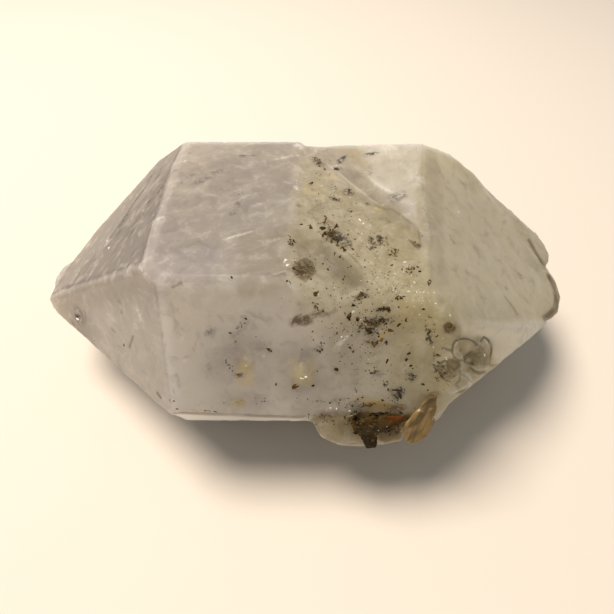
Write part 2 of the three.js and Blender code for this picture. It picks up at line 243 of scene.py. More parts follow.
def surface_tree(meshes):
    """One search tree over several meshes."""
    points, faces = [], []
    for mesh in meshes:
        start = len(points)
        points += [v.co.copy() for v in mesh.vertices]
        faces += [[start + i for i in polygon.vertices] for polygon in mesh.polygons]
    return BVHTree.FromPolygons(points, faces)


def seen(surface, u, v):
    """The point that the camera sees at a pixel, with the surface's normal there."""
    middle = FRAME_PX / 2
    ray = FORWARD * FOCAL_PX + RIGHT * (u - middle) - UPWARD * (v - middle)
    point, normal, _, _ = surface.ray_cast(EYE, ray.normalized())
    if point is None:
        raise ValueError(f"the camera sees nothing at {u}, {v}")
    return point, normal


def points_of(mesh):
    values = np.empty(len(mesh.vertices) * 3)
    mesh.vertices.foreach_get("co", values)
    return values.reshape(-1, 3)


def normals_of(mesh):
    values = np.empty(len(mesh.vertices) * 3)
    mesh.vertex_normals.foreach_get("vector", values)
    return values.reshape(-1, 3)


def pixels_of(points):
    """Where the camera sees each point."""
    away = points - np.array(EYE)
    depth = away @ np.array(FORWARD)
    u = FRAME_PX / 2 + FOCAL_PX * (away @ np.array(RIGHT)) / depth
    v = FRAME_PX / 2 - FOCAL_PX * (away @ np.array(UPWARD)) / depth
    return np.stack([u, v], axis=1)


def facing(points, normals):
    """How squarely each point's surface faces the camera, below 0 where it is turned away."""
    to_eye = np.array(EYE) - points
    return np.sum(to_eye * normals, axis=1) / np.linalg.norm(to_eye, axis=1)


tip_point, _ = seen(surface_tree([skin_mesh]), *LEFT_TIP)
print("left tip at", [round(c / MM, 1) for c in tip_point], "mm")

# %% [markdown]
# ## A closer net where it is needed
# The rough contact zone needs detail a quarter of a millimetre across, and the smooth faces don't, so only
# the zone's quads are split in four. Fine lines need a closer net still: the outlines of thin plates that
# grew last, painted shadows beside them, hairline cracks and dark dashes along the edges. A line is its half
# width in pixels, its strength and its corners.

# %% Fine lines, and the outlines of the plates and the crust
DARK_LINES_AND_SHADOWS = [
    # the round plate and the dark wedge behind it
    (1.0, 0.9, [(462, 361), (459, 360), (454, 357), (452, 352), (453, 345), (455, 341.5), (459, 339.5),
                (465, 338.5), (470, 339.5), (474, 342), (477, 344.5)]),
    (2.2, 1.0, [(463, 360), (467, 355.5), (471, 353)]),
    (1.6, 0.8, [(463, 361), (468, 363), (473, 364)]),
    # the angular plate
    (1.0, 0.9, [(481, 341), (484, 337), (488, 340), (491, 345), (491.5, 350), (490.5, 357), (489.5, 364)]),
    (1.5, 0.5, [(476, 345), (480, 346), (484, 350), (486, 354)]),
    # painted shadows under the curved white flake and beside the angular plate
    (1.6, 0.8, [(471, 368), (475, 371.5), (480, 373.5), (485, 372)]),
    (1.6, 0.6, [(489, 364), (493, 366), (498, 365)]),
    # the small plates below
    (1.2, 0.8, [(438, 368), (440, 374), (444, 379), (447, 381)]),
    (1.0, 0.6, [(440, 364), (444, 361), (450, 360), (456, 362)]),
    (1.4, 0.7, [(447, 362), (448, 368), (451, 374), (455, 377)]),
    (1.4, 0.7, [(452, 361), (458, 362), (460, 366), (455, 370), (451, 367)]),
    (1.2, 0.7, [(461, 371), (460, 376), (460, 380), (456, 384), (459, 389)]),
    (1.2, 0.7, [(462, 375), (466, 377), (471, 382)]),
    (1.0, 0.6, [(448, 385), (452, 390), (458, 393)]),
    (1.8, 1.0, [(460, 392), (464, 391.5), (468, 389)]),
    (1.6, 0.7, [(443, 348.5), (448, 350), (452, 350)]),
    (1.0, 0.6, [(434, 353), (434, 361)]),
    (1.2, 0.7, [(436, 356), (440, 356)]),
    # the second crystal's point: a groove, and painted shade along its clear rim
    (1.6, 0.8, [(529, 240), (536, 253), (545, 268)]),
    (1.8, 0.8, [(549, 277), (556, 284), (560, 297), (558, 308), (547, 316)]),
    # dashes on edges, and hairlines
    (1.0, 0.9, [(157.5, 393), (161, 398)]),
    (1.2, 0.7, [(129.6, 347), (133, 336)]),
    (1.0, 0.7, [(409, 240), (419, 248)]),
    (1.2, 0.5, [(345, 250), (354, 258), (362, 268)]),
    (1.1, 0.6, [(181, 283), (172, 288)]),
    (0.8, 0.4, [(268, 273), (276, 276), (285, 272)]),
    (1.5, 0.6, [(68, 288), (75, 282), (79, 274)]),
    (1.2, 0.5, [(85, 312), (86, 321)]),
    (1.0, 0.5, [(504, 296), (510, 303), (517, 314)]),
    (0.9, 0.5, [(236, 341), (231, 345)]),
    (1.2, 0.4, [(375, 205), (384, 209), (392, 209), (418, 228), (420, 245)]),
]
PALE_LINES = [
    (0.8, 0.7, [(471, 366.5), (476, 369.5), (484, 369.5), (488, 368)]),
    (0.8, 0.5, [(482, 340), (485, 339), (488, 343)]),
    (0.8, 0.5, [(454, 346), (457, 342), (462, 340.5)]),
    (0.7, 0.6, [(340, 346), (347, 336)]),
    (0.8, 0.5, [(327, 163.5), (352, 184.5), (377, 203)]),
    (1.2, 0.35, [(154, 221), (149, 240), (144, 262)]),
    (0.8, 0.4, [(225, 240), (240, 234), (252, 231)]),
    (0.7, 0.35, [(262, 214), (276, 207), (292, 198)]),
    (0.7, 0.35, [(232, 203), (246, 196), (262, 192)]),
    (0.7, 0.3, [(250, 250), (268, 243), (290, 236)]),
    (0.8, 0.5, [(70, 284), (78, 268), (86, 256)]),
    (0.8, 0.5, [(548, 272), (560, 288), (562, 304)]),
    (0.7, 0.4, [(270, 275), (285, 271)]),
    (0.7, 0.4, [(185, 300), (196, 330), (200, 356)]),
]
PLATES_OUTLINE = [
    (436, 360), (446, 342), (452, 334), (478, 334), (492, 332), (500, 364), (486, 380), (468, 398),
    (444, 394),
]
CRUST_OUTLINE = [
    (300, 147), (313, 152), (350, 186), (390, 210), (414, 226), (424, 250), (436, 285), (452, 318),
    (460, 338), (447, 352), (444, 372), (430, 392), (405, 402), (372, 396), (345, 398), (322, 372),
    (318, 345), (296, 338), (284, 318), (292, 292), (279, 262), (280, 236), (292, 214), (291, 182),
    (296, 160),
]
print(len(DARK_LINES_AND_SHADOWS), "dark and", len(PALE_LINES), "pale lines")

# %% Split the net near the lines and in the crust
LINE_MARGINS = (3.5, 2.4)  # pixels from a line within which the net is split, in two rounds
CRUST_MARGIN = 6  # pixels round the crust, which is split in the first round only
IN_SIGHT = 0.05  # how squarely a point faces the camera, from which it is worked on
LEVEL_EDGE = 1e-12  # keeps the slope of a level edge from a division by zero


def smoothstep(value, low, high):
    """0 up to low, 1 from high on, and a smooth step between them."""
    t = np.clip((value - low) / (high - low), 0, 1)
    return t * t * (3 - 2 * t)


def away_from(pixels, a, b):
    """Distance of each pixel from the straight line between two corners."""
    along = b - a
    t = np.clip(((pixels - a) @ along) / (along @ along), 0, 1)
    return np.linalg.norm(pixels - a - t[:, None] * along, axis=1)


def away_from_line(pixels, line):
    """Distance of each pixel from a line with several corners."""
    corners = np.array(line, float)
    return np.min([away_from(pixels, a, b) for a, b in zip(corners, corners[1:])], axis=0)


def depth_inside(pixels, outline):
    """Distance of each pixel from an outline, positive inside it."""
    corners = np.array(outline, float)
    ends = np.roll(corners, -1, axis=0)
    nearest = np.full(len(pixels), np.inf)
    inside = np.zeros(len(pixels), bool)
    for a, b in zip(corners, ends):
        along = b - a
        nearest = np.minimum(nearest, away_from(pixels, a, b))
        crosses = (a[1] > pixels[:, 1]) != (b[1] > pixels[:, 1])
        slope = (pixels[:, 1] - a[1]) / (along[1] + LEVEL_EDGE)
        inside ^= crosses & (pixels[:, 0] < a[0] + slope * along[0])
    return np.where(inside, nearest, -nearest)


def split_where(mesh, wanted):
    """Splits in four the faces whose points are all wanted."""
    bm = bmesh.new()
    bm.from_mesh(mesh)
    faces = [f for f in bm.faces if all(wanted[v.index] for v in f.verts)]
    edges = list({e for f in faces for e in f.edges})
    bmesh.ops.subdivide_edges(bm, edges=edges, cuts=1, use_grid_fill=True)
    bm.to_mesh(mesh)
    bm.free()


for split_round, margin in enumerate(LINE_MARGINS):
    points = points_of(skin_mesh)
    pixels = pixels_of(points)
    from_lines = [away_from_line(pixels, corners) for _, _, corners in DARK_LINES_AND_SHADOWS + PALE_LINES]
    near = np.min(from_lines, axis=0) < margin
    near |= depth_inside(pixels, PLATES_OUTLINE) > 0
    if split_round == 0:
        near |= depth_inside(pixels, CRUST_OUTLINE) > -CRUST_MARGIN
    split_where(skin_mesh, near & (facing(points, normals_of(skin_mesh)) > IN_SIGHT))
print("skin with the fine zones:", len(skin_mesh.vertices), "points")

# %% [markdown]
# ## Masks on the skin
# What grows where is kept as a number at each point, such as how sandy the skin is. Masks are
# better than painting here, because they come from rules and a few named places. Noise makes
# every border ragged, as nothing on a natural crystal has a clean outline.

# %% Helpers for masks
RAGGED_MM = 1.6  # size of the noise that frays the borders of small marks
COARSE_RAGGED_MM = 6  # and of large areas
SEED_SHIFT = 17.3  # a seed takes the noise from another part of its field
BARELY_SEEN = 0.02  # how squarely a point faces the camera, from which a region reaches it
BLOT_DEPTH = 3 * MM  # how far above and below its own face a blot reaches
BLOT_TURN = 0.2  # how nearly a point has to be turned like the blot's middle
BLOT_FADE = (0.35, 1.15)  # in half sizes from its middle
BLOT_FRAY = 0.25
LINE_FRAY = 0.5  # pixels
LINE_TURN = (0.1, 0.3)  # how squarely a point faces the camera, over which lines come in


def rough_noise(points, size_mm, seed, octaves=3):
    """Fractal noise between about -1 and 1, with lumps of the given size."""
    scaled = points / (size_mm * MM) + seed * SEED_SHIFT
    return np.array([noise.fractal(p, 1.0, 2.0, octaves) for p in scaled.tolist()])


def grit_noise(points, size_mm):
    """How far each point lies from the nearest of many scattered spots, in spot sizes."""
    return np.array([noise.voronoi(p)[0][0] for p in (points / (size_mm * MM)).tolist()])


def store(mesh, name, values):
    """Keeps one number for each point of a mesh, for a material to read."""
    layer = mesh.attributes.get(name) or mesh.attributes.new(name, "FLOAT", "POINT")
    layer.data.foreach_set("value", np.asarray(values, np.float32))


class Ground:
    """A mesh as arrays of its points, with what the masks need to know about each point."""

    def __init__(self, mesh):
        self.mesh = mesh
        self.points = points_of(mesh)
        self.normals = normals_of(mesh)
        self.pixels = pixels_of(self.points)
        self.facing = facing(self.points, self.normals)
        self.ragged = rough_noise(self.points, RAGGED_MM, seed=2)
        self.coarse_ragged = rough_noise(self.points, COARSE_RAGGED_MM, seed=5)

    def blot(self, u, v, length, width, turn, strength):
        """A soft oval patch round the point seen at a pixel. Half sizes are in mm, and turn is
        in degrees from the frame's right towards its top."""
        point, normal = seen(whole_surface, u, v)
        across = (RIGHT - normal * RIGHT.dot(normal)).normalized()
        upward = normal.cross(across)
        angle = math.radians(turn)
        long_way = np.array(across * math.cos(angle) + upward * math.sin(angle))
        short_way = np.array(upward * math.cos(angle) - across * math.sin(angle))
        away = self.points - np.array(point)
        off = np.hypot(away @ long_way / (length * MM), away @ short_way / (width * MM))
        near = np.abs(away @ np.array(normal)) < BLOT_DEPTH
        near &= self.normals @ np.array(normal) > BLOT_TURN
        return np.where(near, strength * (1 - smoothstep(off + BLOT_FRAY * self.ragged, *BLOT_FADE)), 0)

    def blots(self, places):
        """The strongest of several blots at each point."""
        return np.max([self.blot(*place) for place in places], axis=0)

    def region(self, outline, soft, wander):
        """1 inside an outline of pixels, 0 outside, with a soft edge that wanders by some pixels."""
        depth = depth_inside(self.pixels, outline) + wander * self.coarse_ragged
        return smoothstep(depth, -soft, soft) * (self.facing > BARELY_SEEN)

    def lines(self, lines):
        """How strongly each point lies on one of several lines."""
        on_line = np.zeros(len(self.points))
        for half_width, strength, corners in lines:
            away = away_from_line(self.pixels, corners) + LINE_FRAY * self.ragged
            on_line = np.maximum(on_line, strength * (1 - smoothstep(away, 0.0, 2 * half_width)))
        return on_line * smoothstep(self.facing, *LINE_TURN)


def soften(mesh, weight, rounds):
    """Moves each point towards the middle of its neighbours, by its own weight, several times."""
    ends = np.empty(len(mesh.edges) * 2, np.int32)
    mesh.edges.foreach_get("vertices", ends)
    a, b = ends.reshape(-1, 2).T
    points = points_of(mesh)
    count = np.bincount(ends, minlength=len(points))[:, None]
    for _ in range(rounds):
        total = np.zeros_like(points)
        for axis in range(3):
            total[:, axis] = np.bincount(a, points[b, axis], len(points))
            total[:, axis] += np.bincount(b, points[a, axis], len(points))
        points += weight[:, None] * (total / count - points)
    mesh.vertices.foreach_set("co", points.ravel())
    mesh.update()


# %% [markdown]
# ## Soft edges
# The solid's edges are exact and its rough contact is made of small triangles. Both are
# softened: points near a sharp edge, and all points of the crust, move towards the middle of
# their neighbours, so that the flat faces stay flat and the edges get a small radius. A bevel
# modifier would need a clean corner wherever edges meet, and the rough contact has none.

# %% Soften the edges and the crust
SHARP = math.radians(14)
EDGE_SAMPLE = 0.4 * MM
EDGE_FADE = (0.6, 0.8)  # mm from an edge, over which points stop moving
EDGE_ROUNDS = 2
CRUST_ROUNDS = 40
HALF_WAY = 0.5  # how far a point moves towards its neighbours' middle in one round
CRUST_FADE = (-8, 2)  # pixels inside the outline, over which the softening comes in
WALL_FADE = (-4, 4)
WALL_OUTLINE = [
    (310, 146), (330, 146), (378, 186), (430, 212), (430, 250), (416, 236), (378, 212), (340, 186),
    (312, 160),
]


def edge_points(node_name, wanted=lambda edge: True):
    """Points along the sharp edges of a CAD node that are wanted."""
    solid = merged_copy(node_name)
    samples = []
    for edge in solid.edges:
        if len(edge.link_faces) == 2 and edge.calc_face_angle(0) > SHARP and wanted(edge):
            a, b = (v.co for v in edge.verts)
            count = max(2, int(edge.calc_length() / EDGE_SAMPLE))
            samples += [a.lerp(b, i / count) for i in range(count + 1)]
    solid.free()
    return samples


def distance_to_edges(points, samples):
    """How many mm each point lies from the nearest sharp edge."""
    edge_tree = KDTree(len(samples))
    for i, point in enumerate(samples):
        edge_tree.insert(point, i)
    edge_tree.balance()
    return np.array([edge_tree.find(p)[2] for p in points.tolist()]) / MM


pair_edges = edge_points("crystal_pair")
points = points_of(skin_mesh)
pixels = pixels_of(points)
edge_distance = distance_to_edges(points, pair_edges)
in_crust = smoothstep(depth_inside(pixels, CRUST_OUTLINE), *CRUST_FADE)
in_crust = np.maximum(in_crust, smoothstep(depth_inside(pixels, WALL_OUTLINE), *WALL_FADE))
in_crust *= facing(points, normals_of(skin_mesh)) > IN_SIGHT
soften(skin_mesh, HALF_WAY * in_crust, CRUST_ROUNDS)
soften(skin_mesh, HALF_WAY * (1 - smoothstep(edge_distance, *EDGE_FADE)), EDGE_ROUNDS)
skin_surface = surface_tree([skin_mesh])
small_solids = [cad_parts[name].data for name in ("stained_crystal", "clay_fill")]
whole_surface = surface_tree([skin_mesh] + small_solids)
print(len(pair_edges), "edge points;", int((edge_distance < EDGE_FADE[1]).sum()), "points near an edge")

# %% [markdown]
# ## Regions of the skin
# Large areas of the stone differ, and each gets a mask: the sandy crust and the smooth hollow in it, the
# wall above it, the second crystal's milky upright face, the small clear crystal, and what iron has stained.
# Some of them carry painted light and shade: the wall and the rim of the second crystal's point are darkened
# as painted shade, the hollow partly so, and the strip under the first crystal's front edge and the second
# crystal's front face are made pale as painted light. An outline of pixels says where each one is.

# %% Outlines of the regions
HOLLOW_OUTLINE = [(318, 246), (340, 250), (362, 268), (370, 290), (352, 290), (336, 276), (322, 262)]
# the first crystal's smooth top, its part next to the crust, and the strip under its front edge, painted
# near white as light that it catches from the table
FIRST_TOP_OUTLINE = [(178, 150), (300, 148), (296, 220), (286, 268), (160, 262), (164, 200)]
NEAR_CRUST_OUTLINE = [(238, 238), (288, 228), (290, 292), (238, 294)]
LIT_SLIVER_OUTLINE = [(172, 414), (311, 419), (311, 426), (200, 424), (176, 420)]
# the second crystal, from its upright face to its tip
UPRIGHT_FACE_OUTLINE = [
    (362, 140), (417, 136), (416, 220), (400, 206), (384, 200), (372, 184), (364, 160),
]
RIDGE_SIDE_OUTLINE = [(421, 146), (436, 150), (442, 208), (448, 284), (430, 292), (423, 212)]
# the second crystal's front face, made pale as painted light
SECOND_FRONT_OUTLINE = [
    (455, 318), (480, 321), (548, 318), (540, 336), (500, 368), (490, 350), (482, 336), (462, 336),
]
RIGHT_LOW_OUTLINE = [
    (400, 300), (452, 300), (470, 340), (500, 345), (470, 400), (436, 425), (400, 404), (385, 350),
]
# the rim of the second crystal's point, darkened as painted shade
TIP_RIM_OUTLINE = [
    (545, 272), (556, 276), (566, 296), (565, 314), (544, 322), (541, 316), (553, 307), (554, 293),
    (549, 282),
]
# the small clear crystal, and what is stained on it
SMALL_CRYSTAL_OUTLINE = [
    (304, 420), (320, 415), (345, 411), (375, 414), (412, 414), (412, 446), (325, 450),
]
TAN_OUTLINE = [(381, 420), (402, 410), (404, 440), (388, 447), (378, 438)]
OCHRE_OUTLINE = [(362, 404), (372, 402), (392, 404), (408, 404), (404, 408), (384, 411), (368, 412)]
# thin plates and scales that iron has stained, each with its strength
PLATE_STAINS = [
    (0.8, [(291, 268), (300, 259), (307, 256), (314, 261), (316, 270), (312, 277), (305, 282), (295, 275)]),
    (0.35, [(289, 322), (296, 314), (303, 317), (318, 311), (328, 311), (318, 318), (300, 324), (291, 326)]),
    (0.6, [(354, 296), (358, 292), (366, 291), (369, 295), (363, 298), (361, 302), (356, 301)]),
    (1.0, [(443, 325), (448, 321), (452, 323), (457, 327), (455, 333), (450, 334), (445, 332)]),
    (0.6, [(438, 362), (452, 358), (461, 361), (461, 374), (452, 380), (443, 378), (439, 370)]),
    (0.15, [(453, 346), (462, 339), (472, 341), (475, 348), (466, 356), (456, 356)]),
    (0.5, [(466, 354), (482, 346), (490, 358), (488, 366), (473, 366)]),
    (0.5, [(449, 382), (460, 376), (470, 380), (469, 389), (461, 393), (452, 390)]),
    (0.4, [(312, 417), (330, 413), (346, 412), (350, 417), (334, 420), (318, 421)]),
    (0.4, [(334, 424), (350, 420), (362, 432), (352, 442), (338, 438)]),
    (0.5, [(384, 424), (398, 420), (406, 426), (400, 438), (384, 440)]),
    (0.3, [(350, 404), (384, 403), (384, 410), (350, 411)]),
]
print(len(PLATE_STAINS), "stained plates")

# %% Masks from the outlines
# each region's outline, how soft its edge is and how far it wanders, both in pixels
REGIONS = {
    "near_crust": (NEAR_CRUST_OUTLINE, 10, 5),
    "ridge_side": (RIDGE_SIDE_OUTLINE, 6, 3),
    "tan": (TAN_OUTLINE, 2, 2),
    "small_crystal": (SMALL_CRYSTAL_OUTLINE, 3, 2),
    "upright": (UPRIGHT_FACE_OUTLINE, 8, 4),
    "right_low": (RIGHT_LOW_OUTLINE, 18, 8),
    "tip_rim_shade": (TIP_RIM_OUTLINE, 1.5, 1),
    "lit_sliver": (LIT_SLIVER_OUTLINE, 1.5, 0),
    "first_top": (FIRST_TOP_OUTLINE, 8, 6),
    "wall": (WALL_OUTLINE, 3, 0),
    "second_front_light": (SECOND_FRONT_OUTLINE, 4, 2),
    "ochre": (OCHRE_OUTLINE, 2, 2),
}
PLATE_EDGE = {"soft": 1.2, "wander": 1.5}
HOLLOW_EDGE = {"soft": 7, "wander": 3}
HOLLOW_BARE = 0.8  # share of the crust that is missing in the hollow
CRUST_WANDER = 9
CRUST_EDGE = (-9, 20)  # pixels inside the outline, over which the crust comes in
CRUST_THINS = (272, 335)  # pixel rows over which the crust gets thin below the front edge
CRUST_THINNING = 0.7
# the wall is darkened as painted shade, most where its face turns towards the lamp
WALL_TURN = (0.03, 0.15)  # how far towards the left the wall's face is turned
SECOND_FRONT_GLOW = (318, 336)  # pixel rows over which light from the face above fades
SECOND_FRONT_LEAST = 0.4  # share of the pale tint that is left where that light is strongest


def rising_from(least, share):
    """A share from 0 to 1 as one that starts at the least."""
    return least + (1 - least) * share


ground = Ground(skin_mesh)
rows = ground.pixels[:, 1]
crust_depth = depth_inside(ground.pixels, CRUST_OUTLINE) + CRUST_WANDER * ground.coarse_ragged
crust = smoothstep(crust_depth, *CRUST_EDGE) * (ground.facing > BARELY_SEEN)
crust *= 1 - CRUST_THINNING * smoothstep(rows, *CRUST_THINS)
hollow = ground.region(HOLLOW_OUTLINE, **HOLLOW_EDGE)
crust *= 1 - HOLLOW_BARE * hollow
regions = {"crust": crust, "hollow": hollow}
for name, (outline, soft, wander) in REGIONS.items():
    regions[name] = ground.region(outline, soft, wander)
regions["wall"] *= smoothstep(-ground.normals[:, 0], *WALL_TURN)
regions["second_front_light"] *= rising_from(SECOND_FRONT_LEAST, smoothstep(rows, *SECOND_FRONT_GLOW))
plates = [strength * ground.region(outline, **PLATE_EDGE) for strength, outline in PLATE_STAINS]
plate_stain = np.max(plates, axis=0)
print("crust on", int((crust > 0.5).sum()), "points")

# %% [markdown]
# ## Faces away from the lamp
# Some masks follow a whole face, found by the way its normal points. Faces turned to the front and the right
# get little of the lamp and are made pale, which is painted light, and the two left faces of the first point
# are made darker, which is painted shade. Light that enters a bright face comes out again beyond its edge,
# which makes the next face too pale there. So beside such an edge the pale tints are weaker and the dark one
# is stronger.

# %% Masks from the way a face is turned
UPPER_LEFT_SPOT = (110, 240)  # a pixel on the upper face of the left pyramid
UPPER_LEFT_ENDS = 190  # pixel column
UPPER_LEFT_TURN = (0.93, 0.985)  # how nearly a normal points the same way
UPPER_LEFT_FADE = (0.3, 1.3)  # mm from an edge
UPPER_LEFT_LEAST = 0.45
GLOW_REACH = 7  # mm that light from a bright face goes round its edge under the surface
BRIGHT_FROM = 0.5  # upward part of a normal, from which a face is bright
BRIGHTER_BY = 0.2  # how much more the upper face at such an edge looks up
OVERHANG = -0.1  # upward part of a normal, below which a face isn't tinted
# the way a face points, how nearly (from where the mask starts to where it is full), and the
# mask's strength beside the edge of a bright face
# these masks carry painted light on faces turned to the front and the right, and painted shade on the left
# front face of the first point
TURNED_FACES = {
    "front_painted_light": (Vector((0, -1, 0)), 0.45, 0.9, 0.45),
    "right_painted_light": (Vector((1, 0, 0)), 0.3, 0.6, 0.45),
    "left_front_painted_shade": (Vector((-0.786, -0.535, 0.309)), 0.9, 0.97, 3.0),
}


def under_bright_face(way, nearly):
    """A test for edges: the lower face is turned that way and the upper one catches the lamp."""

    def is_wanted(edge):
        lower, upper = sorted((face.normal for face in edge.link_faces), key=lambda normal: normal.z)
        return lower.dot(way) > nearly and upper.z > max(BRIGHT_FROM, lower.z + BRIGHTER_BY)

    return is_wanted


# the upper face of the left pyramid is darkened as painted shade, less so beside its edges
_, upper_left_way = seen(skin_surface, *UPPER_LEFT_SPOT)
upper_left_shade = smoothstep(ground.normals @ np.array(upper_left_way), *UPPER_LEFT_TURN)
upper_left_shade *= ground.pixels[:, 0] < UPPER_LEFT_ENDS
upper_left_shade *= rising_from(UPPER_LEFT_LEAST, smoothstep(edge_distance, *UPPER_LEFT_FADE))
regions |= {"upper_left_shade": upper_left_shade, "plate_stain": plate_stain}
for name, (way, low, high, at_edge) in TURNED_FACES.items():
    bright_edges = edge_points("crystal_pair", under_bright_face(way, (low + high) / 2))
    from_bright = smoothstep(distance_to_edges(ground.points, bright_edges), 0, GLOW_REACH)
    turned = smoothstep(ground.normals @ np.array(way), low, high) * (ground.normals[:, 2] > OVERHANG)
    regions[name] = turned * rising_from(at_edge, from_bright)
regions |= {"dark_line_and_shadow": ground.lines(DARK_LINES_AND_SHADOWS), "pale_line": ground.lines(PALE_LINES)}
for name, values in regions.items():
    store(skin_mesh, name, values)
    print(name, "covers", int((values > 0.5).sum()), "points")

# %% [markdown]
# ## Stains, veils and worn edges
# Iron leaves yellow and brown stains, trapped clay shows as blue-grey smudges under the surface, and healed
# cracks as white wisps; a few small white patches are painted glints. Each list names its patches: pixel,
# half length and half width in mm, turn in degrees and strength.

# %% Lists of patches
SMUDGES = [
    (338, 237, 1.7, 1.3, -40, 1.0), (347, 243, 1.1, 0.9, -40, 0.7), (318, 162, 1.5, 1.2, -50, 0.5),
    (303, 268, 2.5, 2.1, 35, 0.3), (349, 191, 1.0, 1.0, 0, 0.6), (336, 199, 1.6, 0.6, -40, 0.7),
    (371, 154, 1.7, 0.6, 5, 1.0), (342, 159, 1.6, 0.7, 50, 1.0), (397, 197, 1.9, 1.4, 20, 0.6),
    (336, 169, 0.9, 0.6, -40, 1.0), (370, 171, 1.8, 0.6, 80, 0.5), (326, 150, 1.4, 0.4, 10, 0.5),
    (364, 172, 1.6, 2.4, 80, 0.28), (418, 245, 1.3, 0.35, -50, 0.6), (376, 321, 3.0, 0.8, 8, 0.6),
    (384, 309, 1.8, 0.6, 10, 0.5), (362, 297, 1.5, 0.7, 10, 0.5), (302, 319, 2.5, 1.1, 15, 0.15),
    (400, 392, 1.0, 1.0, 0, 0.9), (394, 392, 1.5, 1.1, 0, 0.5), (412, 376, 1.5, 1.2, 40, 0.45),
    (379, 374, 1.5, 0.7, 20, 0.4), (355, 384, 1.2, 1.5, 0, 0.3), (355, 372, 1.0, 1.2, 0, 0.3),
    (372, 330, 1.7, 0.9, 20, 0.5), (238, 205, 0.7, 1.6, 10, 0.55), (241, 194, 1.3, 0.6, 30, 0.5),
    (233, 213, 1.3, 0.8, 50, 0.5), (200, 181, 2.0, 0.9, 35, 0.5), (181, 183, 1.1, 1.1, 40, 0.45),
    (216, 172, 2.0, 1.0, 30, 0.45), (245, 156, 2.1, 0.5, 3, 0.6), (157, 177, 1.6, 0.6, 40, 0.6),
    (77, 317, 0.9, 0.9, 0, 0.9), (73, 323, 0.9, 0.4, -40, 0.6), (190, 176, 1.5, 0.6, 35, 0.45),
    (210, 178, 1.3, 0.5, 20, 0.4), (190, 153, 1.0, 0.5, 30, 0.4), (300, 205, 0.8, 0.5, 0, 0.5),
    (160, 190, 1.3, 0.6, 60, 0.6), (124, 220, 2.6, 1.1, 52, 0.45), (119, 233, 1.8, 0.8, 52, 0.45),
    (134, 252, 1.4, 0.5, 50, 0.35), (174, 171, 0.9, 0.5, 20, 0.5), (211, 373, 1.9, 1.5, 50, 0.2),
    (209, 332, 1.4, 0.5, 40, 0.5), (196, 354, 1.8, 0.7, 60, 0.1), (452, 192, 2.4, 0.9, -35, 0.3),
    (462, 182, 1.5, 0.7, -40, 0.3), (433, 224, 1.2, 2.2, 0, 0.25), (453, 241, 1.5, 0.5, -45, 0.45),
    (511, 242, 2.0, 1.3, -45, 0.3), (504, 222, 1.2, 0.6, 40, 0.4), (520, 276, 1.0, 0.9, 0, 0.5),
    (506, 288, 0.6, 0.6, 0, 0.6), (488, 197, 1.1, 0.5, -40, 0.4), (470, 206, 2.0, 1.0, -30, 0.25),
    (118, 300, 0.7, 1.6, 70, 0.4), (121, 312, 0.5, 0.9, 80, 0.5), (113, 330, 0.4, 1.0, 70, 0.5),
    # the lens-shaped marks of the left pyramid
    (150, 178, 2.2, 0.7, 48, 0.6), (143, 190, 2.5, 0.8, 50, 0.6), (136, 200, 2.2, 0.7, 50, 0.55),
    (128, 212, 2.4, 0.8, 50, 0.6), (120, 224, 2.2, 0.8, 50, 0.5), (150, 200, 1.8, 0.6, 55, 0.5),
    (142, 215, 1.6, 0.6, 55, 0.45), (133, 230, 1.8, 0.6, 52, 0.4), (110, 238, 2.0, 0.6, 50, 0.4),
    (98, 254, 1.8, 0.6, 50, 0.4), (88, 268, 1.6, 0.5, 52, 0.4), (160, 170, 1.6, 0.5, 45, 0.5),
    # faint clouds
    (225, 225, 4.0, 2.5, 20, 0.15), (470, 240, 4.0, 2.0, -35, 0.18), (490, 270, 3.0, 1.5, -40, 0.18),
    (200, 350, 4.0, 2.5, 50, 0.08), (120, 350, 2.5, 1.5, 30, 0.2), (445, 265, 3.0, 1.2, -60, 0.15),
]
